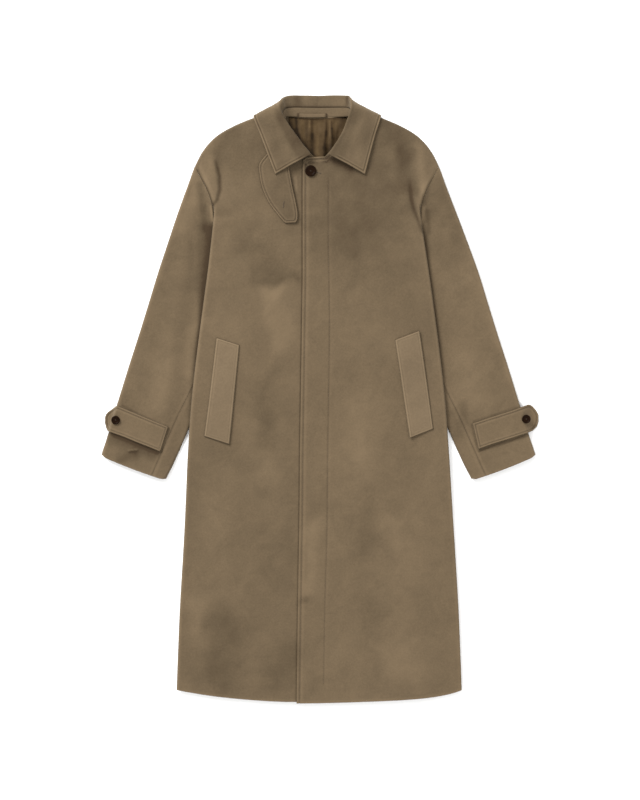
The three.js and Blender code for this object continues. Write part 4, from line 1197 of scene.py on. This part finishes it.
# Painted shade and light on the gathers' sides, and the collar's painted shadow: x, y, toX, toY, width, tone
liningShades = np.array([
    (-46.5, 546, -45, 522, 2.6, -0.8),
    (-45, 522, -40, 504, 2.8, -0.7),
    (-27, 540, -26, 500, 4.0, -0.35),
    (-15.5, 540, -15, 505, 2.6, -0.5),
    (-15, 512, -14.5, 470, 4.6, -0.7),
    (13, 540, 12, 512, 1.8, -0.5),
    (12, 518, 9, 486, 2.8, -0.7),
    (9, 486, 9, 468, 4.6, -0.7),
    (22.8, 538, 23.4, 524, 1.4, -0.5),
    (23.4, 524, 24, 505, 2.0, -0.7),
    (-74, 548, -17, 470, 6.5, -1.1),
    (47.8, 546, 12.7, 470, 5.0, -0.5),
    (-48, 545, 44, 543.5, 2.0, -0.4),
    (-20.5, 539, -20.5, 527, 1.8, 0.5),
    (-4.5, 510, -4.5, 473, 2.5, 0.4),
    (19.1, 539, 19.1, 510, 1.8, 0.4),
    (-33, 535, -33, 500, 6.0, 0.3),
    (34, 540, 34, 515, 6.0, 0.2),
])


def makeLiningPiece():
    s = liningSettings
    x = np.linspace(s["leftX"], s["rightX"], 150)[None, :]
    topY = readCurve(collarRows[:5, 0], collarRows[:5, 1], np.abs(x - coatMiddle)) - s["seam"]
    x, y = np.broadcast_arrays(x, mix(s["lowY"], topY, np.linspace(0, 1, 90)[:, None]))
    gather = np.zeros_like(y)
    for k, (atX, width, height) in enumerate(liningGathers):
        drift = 0.05 * (y - topY) * math.sin(2.3 * k + 0.7)  # each one wanders as it runs down
        gather += height * bell((x - atX - drift) / (width * (1 + 0.004 * (topY - y))))
    gather *= 1 - 0.75 * ease(y, 500, 546)
    gather += 0.35 * waver(x, y, 11.0) * ease(topY - y, 0, 12)
    floor = bodyFloor(x, np.minimum(y, 534)) + bodySettings["cloth"]
    outer = np.stack([x, y, floor + layGap + s["cloth"] + np.maximum(gather, 0)], 2)
    inner = outer - np.array([0, 0, s["cloth"]])
    piece = makeCloth("clothBackLining", outer, inner, lining, foldSum(liningShades, x, y))
    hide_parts("back_lining")
    return piece


backLining = makeLiningPiece()

# The hanger loop: a narrow band, sewn down at both ends and bowed up between them.
loopSettings = {
    "leftX": -43.5,
    "rightX": 13.5,
    "y": 546.4,
    "width": 7,
    "bow": 2.0,
    "thickness": 1.4,
    "dip": 1.0,
}


def makeLoop():
    s = loopSettings
    surface = surfaceOf(collarStand)
    shares = np.linspace(0, 1, 61)
    across = np.array([0, 0.06, 0.14, 0.3, 0.5, 0.7, 0.86, 0.94, 1.0])
    grid = np.zeros((len(across), len(shares), 3))
    for k, share in enumerate(shares):
        bow = math.sin(math.pi * share)
        x = mix(s["leftX"], s["rightX"], share)
        y = s["y"] - s["dip"] * bow
        base = max(topOf(surface, x, y + step, 0) for step in (0, s["width"] / 2, s["width"]))
        z = base + layGap + s["thickness"] + s["bow"] * bow
        edge = np.minimum(across, 1 - across) * s["width"]
        crown = 0.4 * ease(edge, 0, 2.4) - 0.35 * bell((edge - 1.3) / 0.5)
        grid[:, k] = np.stack([x + 0 * across, y + across * s["width"], z + crown], 1)
    inner = grid - np.array([0, 0, s["thickness"]])
    # Painted shade at both ends, where the loop is sewn down
    tone = 0.1 - 1.9 * bell(np.minimum(shares, 1 - shares) / 0.05)
    piece = makeCloth("clothHangerLoop", grid, inner, wool, tone[None, :])
    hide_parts("hanger_loop")
    return piece


hangerLoop = makeLoop()
print("lining and loop made")

# Buttons of horn with a sunk middle and four holes, sewn on with crossed thread.
cuffButton = {"diameter": 17, "height": 3.0, "holes": 1.7, "spacing": 1.9}
buttonSettings = {
    "neck": {"x": -17.8, "y": 441.2, "turn": 0.5,
             "diameter": 22, "height": 3.4, "holes": 2.1, "spacing": 2.4},
    "cuffLeft": {"x": 400.5, "y": -41, "turn": 0.2, **cuffButton},
    "cuffRight": {"x": -396.5, "y": -43, "turn": -0.3, **cuffButton},
    "sides": 72,
    "strand": 0.3,
}
# From the middle of the underside, round the rim and into the sunk middle: radius, height
buttonProfile = [
    (0, 0), (0.7, 0), (0.88, 0.08), (0.97, 0.24), (1, 0.45), (1, 0.7), (0.985, 0.85), (0.95, 0.96),
    (0.9, 1.0), (0.8, 1.02), (0.74, 0.99), (0.7, 0.92), (0.66, 0.78), (0.62, 0.71), (0.57, 0.68),
    (0.3, 0.68), (0, 0.68),
]


def circle(count, start=0.0):
    return [start + 2 * math.pi * k / count for k in range(count)]


# Faces between rings of points, with both ends closed
def ringFaces(count, sides, flip):
    faces = []
    for start in range(0, (count - 1) * sides, sides):
        for k in range(sides):
            n = (k + 1) % sides
            quad = [start + k, start + n, start + sides + n, start + sides + k]
            faces.append([quad[0], *quad[:0:-1]] if flip else quad)
    first, last = list(range(sides)), [(count - 1) * sides + k for k in range(sides)]
    return faces + ([first, last[::-1]] if flip else [first[::-1], last])


def tubeAlong(points, radius, sides=8):
    points = np.asarray(points, float)
    verts = []
    for p, way in zip(points, np.gradient(points, axis=0)):
        way = way / np.linalg.norm(way)
        a = np.cross(way, [0.13, 0.21, 0.97])
        a /= np.linalg.norm(a)
        b = np.cross(way, a)
        verts += [p + radius * (math.cos(turn) * a + math.sin(turn) * b) for turn in circle(sides)]
    return verts, ringFaces(len(points), sides, True)


def joinParts(parts):
    points, faces = [], []
    for verts, loops in parts:
        start = len(points)
        points += list(verts)
        faces += [[start + i for i in loop] for loop in loops]
    return np.array(points), faces


def buttonBlank(x, y, base, radius, height):
    sides = buttonSettings["sides"]
    points, faces = [(x, y, base)], []
    for r, h in buttonProfile[1:-1]:
        reach = r * radius
        for turn in circle(sides):
            points.append((x + reach * math.cos(turn), y + reach * math.sin(turn), base + h * height))
    points.append((x, y, base + buttonProfile[-1][1] * height))
    lastRing = len(points) - 1 - sides
    for k in range(sides):
        n = (k + 1) % sides
        faces.append([0, 1 + n, 1 + k])
        for a in range(1, lastRing, sides):
            faces.append([a + k, a + n, a + sides + n, a + sides + k])
        faces.append([lastRing + k, lastRing + n, len(points) - 1])
    return points, faces


def cutHoles(piece, name, corners, base, height, diameter):
    lines = [[(*corner, base - 1), (*corner, base + height + 1)] for corner in corners]
    tubes = [tubeAlong(line, diameter / 2, 20) for line in lines]
    cutter = makeObject(name + "Cutter", *joinParts(tubes), horn)
    modifier = piece.modifiers.new("holes", "BOOLEAN")
    modifier.operation, modifier.object, modifier.solver = "DIFFERENCE", cutter, "EXACT"
    evaluated = piece.evaluated_get(bpy.context.evaluated_depsgraph_get())
    cut = bpy.data.meshes.new_from_object(evaluated)
    piece.modifiers.clear()
    piece.data = cut
    bpy.data.objects.remove(cutter)


# Two pairs of strands, crossed from hole to hole and drawn down through them
def buttonStrands(corners, base, top):
    strands = []
    for first, second, lift in ((0, 2, 0.0), (1, 3, 0.35)):
        start, end = np.array(corners[first]), np.array(corners[second])
        across = np.array([start[1] - end[1], end[0] - start[0]]) / np.hypot(*(end - start))
        for shift in (-0.28, 0.28):
            line = []
            for t in np.linspace(0, 1, 9):
                rise = 0.85 * math.sin(math.pi * t) ** 0.5 + lift * math.sin(math.pi * t)
                line.append((*(mix(start, end, t) + across * shift), top - 0.5 + rise))
            line = [(*line[0][:2], base + 0.6), *line, (*line[-1][:2], base + 0.6)]
            strands.append(tubeAlong(line, buttonSettings["strand"]))
    return joinParts(strands)


def makeButton(name, node, settings, beneath):
    surface = surfaceOf(beneath)
    x, y, radius, height = settings["x"], settings["y"], settings["diameter"] / 2, settings["height"]
    near = [(x + r * math.cos(t), y + r * math.sin(t)) for t in circle(24) for r in (0, radius / 2, radius)]
    base = max(topOf(surface, *place, 0) for place in near) + layGap
    away = settings["spacing"] / math.sqrt(2) * 1.05
    turns = circle(4, math.pi / 4 + settings["turn"])
    corners = [(x + away * math.cos(t), y + away * math.sin(t)) for t in turns]
    piece = makeObject(name, *buttonBlank(x, y, base, radius, height), horn)
    cutHoles(piece, name, corners, base, height, settings["holes"])
    top = base + buttonProfile[-1][1] * height
    sewn = makeObject(name + "Thread", *buttonStrands(corners, base, top), buttonThreadAndSlitShadow)
    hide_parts(node)


makeButton("hornButtonNeck", "button_neck", buttonSettings["neck"], frontLeft)
makeButton("hornButtonCuffLeft", "button_cuff_left", buttonSettings["cuffLeft"], tabLeft)
makeButton("hornButtonCuffRight", "button_cuff_right", buttonSettings["cuffRight"], tabRight)
print("buttons made")

# Stitches of wool thread, each a short bead pressed into its groove.
threadSettings = {"pitch": 3.6, "length": 2.7, "radius": 0.32, "sink": 0.1}


def bead(centre, way, normal, length, radius):
    side = np.cross(normal, way)
    side /= np.linalg.norm(side)
    normal = np.cross(way, side)
    stations, sides = [(-0.5, 0.45), (-0.3, 0.95), (0.3, 0.95), (0.5, 0.45)], 6
    verts = []
    for place, size in stations:
        sink = -0.35 * radius if size < 0.9 else 0.0
        for turn in circle(sides):
            round = radius * size * (math.cos(turn) * side + math.sin(turn) * normal)
            verts.append(centre + way * place * length + normal * sink + round)
    return verts, ringFaces(len(stations), sides, False)


def stitchRow(line, surface):
    s = threadSettings
    line = np.asarray(line, float)
    lengths = np.concatenate([[0], np.cumsum(np.hypot(*np.diff(line[:, :2], axis=0).T))])
    parts = []
    for at in np.arange(s["pitch"] / 2, lengths[-1], s["pitch"]):
        places = [[np.interp(at + step, lengths, line[:, k]) for k in (0, 1)] for step in (-1.2, 0, 1.2)]
        (first, _), (middle, normal), (last, _) = (dropOn(surface, *place) for place in places)
        if first is None or middle is None or last is None:
            continue
        way = last - first
        if np.linalg.norm(way) < 1e-6 or abs(way[2]) > 2.5:
            continue
        centre = middle + normal * (s["radius"] - s["sink"])
        parts.append(bead(centre, way / np.linalg.norm(way), normal, s["length"], s["radius"]))
    return parts


def makeStitches(name, lines, beneath):
    surface = surfaceOf(beneath)
    parts = [part for line in lines for part in stitchRow(line, surface)]
    piece = makeObject(name, *joinParts(parts), thread)
    return piece


def frontLine(offsetAt, lowY, highY):
    ys = np.linspace(lowY, highY, 120)
    edgeX = np.interp(ys, leftY[: cornerRow + 1], leftX[: cornerRow + 1])
    return np.stack([edgeX + offsetAt(ys) + sway(ys), ys], 1)


def neckLine(inset):
    line = necklineAt(inset)
    return line + np.stack([sway(line[:, 1]), 0 * line[:, 1]], 1)


def edgeStitches(name, rows, beneath):
    line = insetOutline(rows, laidSettings["stitchInset"])
    return makeStitches(name, [np.concatenate([line, line[:1]])], beneath)


# A buttonhole: close stitches across both lips, and between them a line of dark beads that paints the slit's
# shadow.
def makeButtonhole(name, settings, beneath):
    surface = surfaceOf(beneath)
    start, end = np.array(settings["start"]), np.array(settings["end"])
    length = np.hypot(*(end - start))
    along = (end - start) / length
    across = np.array([-along[1], along[0]])
    lip, pitch = settings["lip"], settings["pitch"]

    def beadOn(place, way, lift, size, radius):
        point, normal = dropOn(surface, *place)
        if point is None:
            return []
        return [bead(point + lift * normal, np.array([*way, 0.0]), normal, size, radius)]

    lips, slitShadow = [], []
    for at in np.arange(0, length + 0.01, pitch):
        place = start + along * at
        for side in (-1, 1):
            lips += beadOn(place + across * side * lip * 0.5, across, 0.15, lip * 0.8, 0.38)
        # Dark beads along the slit, painting its shadow
        slitShadow += beadOn(place, along, 0.1, pitch * 1.5, 0.42)
    made = []
    for part, beads, material in (("Lips", lips, thread), ("SlitShadow", slitShadow, buttonThreadAndSlitShadow)):
        piece = makeObject(name + part, *joinParts(beads), material)
        made.append(piece)
    return made


buttonholeSettings = {
    "neck": {"start": (-8.4, 439.5), "end": (2.6, 436.0), "pitch": 0.8, "lip": 1.7},
    "latch": {"start": (-69.5, 381.5), "end": (-71.5, 369.0), "pitch": 0.8, "lip": 1.7},
}
s = stitchSettings
threadEdge = makeStitches("threadFrontEdge", [frontLine(lambda y: s["edge"], -583, 456)], frontLeft)
threadFly = makeStitches("threadFly", [frontLine(flyOffset, s["flyFoot"], s["flyTop"])], frontLeft)
threadNeck = makeStitches("threadNeckline", [neckLine(s["neckEdge"]), neckLine(s["neck"])[:-1]], frontLeft)
holeNeck = makeButtonhole("buttonholeNeck", buttonholeSettings["neck"], frontLeft)
threadLatch = edgeStitches("threadLatch", latchRows, latch)
holeLatch = makeButtonhole("buttonholeLatch", buttonholeSettings["latch"], latch)
threadTabLeft = edgeStitches("threadCuffTabLeft", tabLeftRows, tabLeft)
threadTabRight = edgeStitches("threadCuffTabRight", tabRightRows, tabRight)
print("stitches made")

# Prints each piece of cloth's cut area in square metres, the area it lies as, and its count of faces
def declareCloth(piece, area):
    measured = sum(p.area for p in piece.data.polygons) / 2
    print(piece.name, "cut", area, "lies as", round(measured, 4), "with", len(piece.data.polygons), "faces")


declareCloth(back, 0.548)
declareCloth(frontLeft, 0.309)
declareCloth(frontRight, 0.288)
declareCloth(sleeveUpperLeft, 0.066)
declareCloth(sleeveUpperRight, 0.066)
declareCloth(sleeveUnderLeft, 0.096)
declareCloth(sleeveUnderRight, 0.096)
declareCloth(latch, 0.0070)
declareCloth(weltLeft, 0.0098)
declareCloth(weltRight, 0.0096)
declareCloth(tabLeft, 0.0065)
declareCloth(tabRight, 0.0062)
declareCloth(collarStand, 0.0050)
declareCloth(collarFall, 0.0360)
declareCloth(backLining, 0.0125)

# The floor, the lights and the camera
studioSettings = {
    "floor": 14.0,
    "paper": (0.96, 0.96, 0.955),
    "daylight": 1.0,
    "cameraHeight": 3.684,
    "cameraX": -0.0002,
    "cameraY": -0.0029,
    "lens": 85,
    "sensor": 36,
    "below": 0.0002,
    "keyLight": {"place": (-3.2, 4.2, 3.6), "size": (2.6, 2.6), "power": 640},
    "fillLight": {"place": (2.4, -2.6, 4.2), "size": (3.0, 3.0), "power": 90},
}


def makeFloor():
    half = studioSettings["floor"] / 2
    mesh = bpy.data.meshes.new("studioFloor")
    corners = [(-half, -half), (half, -half), (half, half), (-half, half)]
    mesh.from_pydata([(*corner, -studioSettings["below"]) for corner in corners], [], [(0, 1, 2, 3)])
    floor = bpy.data.objects.new("studioFloor", mesh)
    bpy.context.scene.collection.objects.link(floor)
    material = bpy.data.materials.new("floorPaper")
    material.use_nodes = True
    shader = material.node_tree.nodes["Principled BSDF"]
    shader.inputs["Base Color"].default_value = (*studioSettings["paper"], 1)
    shader.inputs["Roughness"].default_value = 0.9
    mesh.materials.append(material)


# A soft light, turned to the coat's middle
def makeLight(name):
    settings = studioSettings[name]
    data = bpy.data.lights.new(name, "AREA")
    data.shape, data.energy = "RECTANGLE", settings["power"]
    data.size, data.size_y = settings["size"]
    lamp = bpy.data.objects.new(name, data)
    bpy.context.scene.collection.objects.link(lamp)
    lamp.location = settings["place"]
    lamp.rotation_euler = (-Vector(settings["place"])).to_track_quat("-Z", "Y").to_euler()


makeFloor()
makeLight("keyLight")
makeLight("fillLight")
world = bpy.data.worlds.new("studioWorld")
world.use_nodes = True
daylight = world.node_tree.nodes["Background"]
daylight.inputs["Color"].default_value = (1, 1, 1, 1)
daylight.inputs["Strength"].default_value = studioSettings["daylight"]
bpy.context.scene.world = world

cameraData = bpy.data.cameras.new("studioCamera")
cameraData.lens, cameraData.sensor_width = studioSettings["lens"], studioSettings["sensor"]
camera = bpy.data.objects.new("studioCamera", cameraData)
bpy.context.scene.collection.objects.link(camera)
camera.location = (studioSettings["cameraX"], studioSettings["cameraY"], studioSettings["cameraHeight"])
bpy.context.scene.camera = camera
bpy.context.scene.view_settings.view_transform = "Standard"
print("studio made")
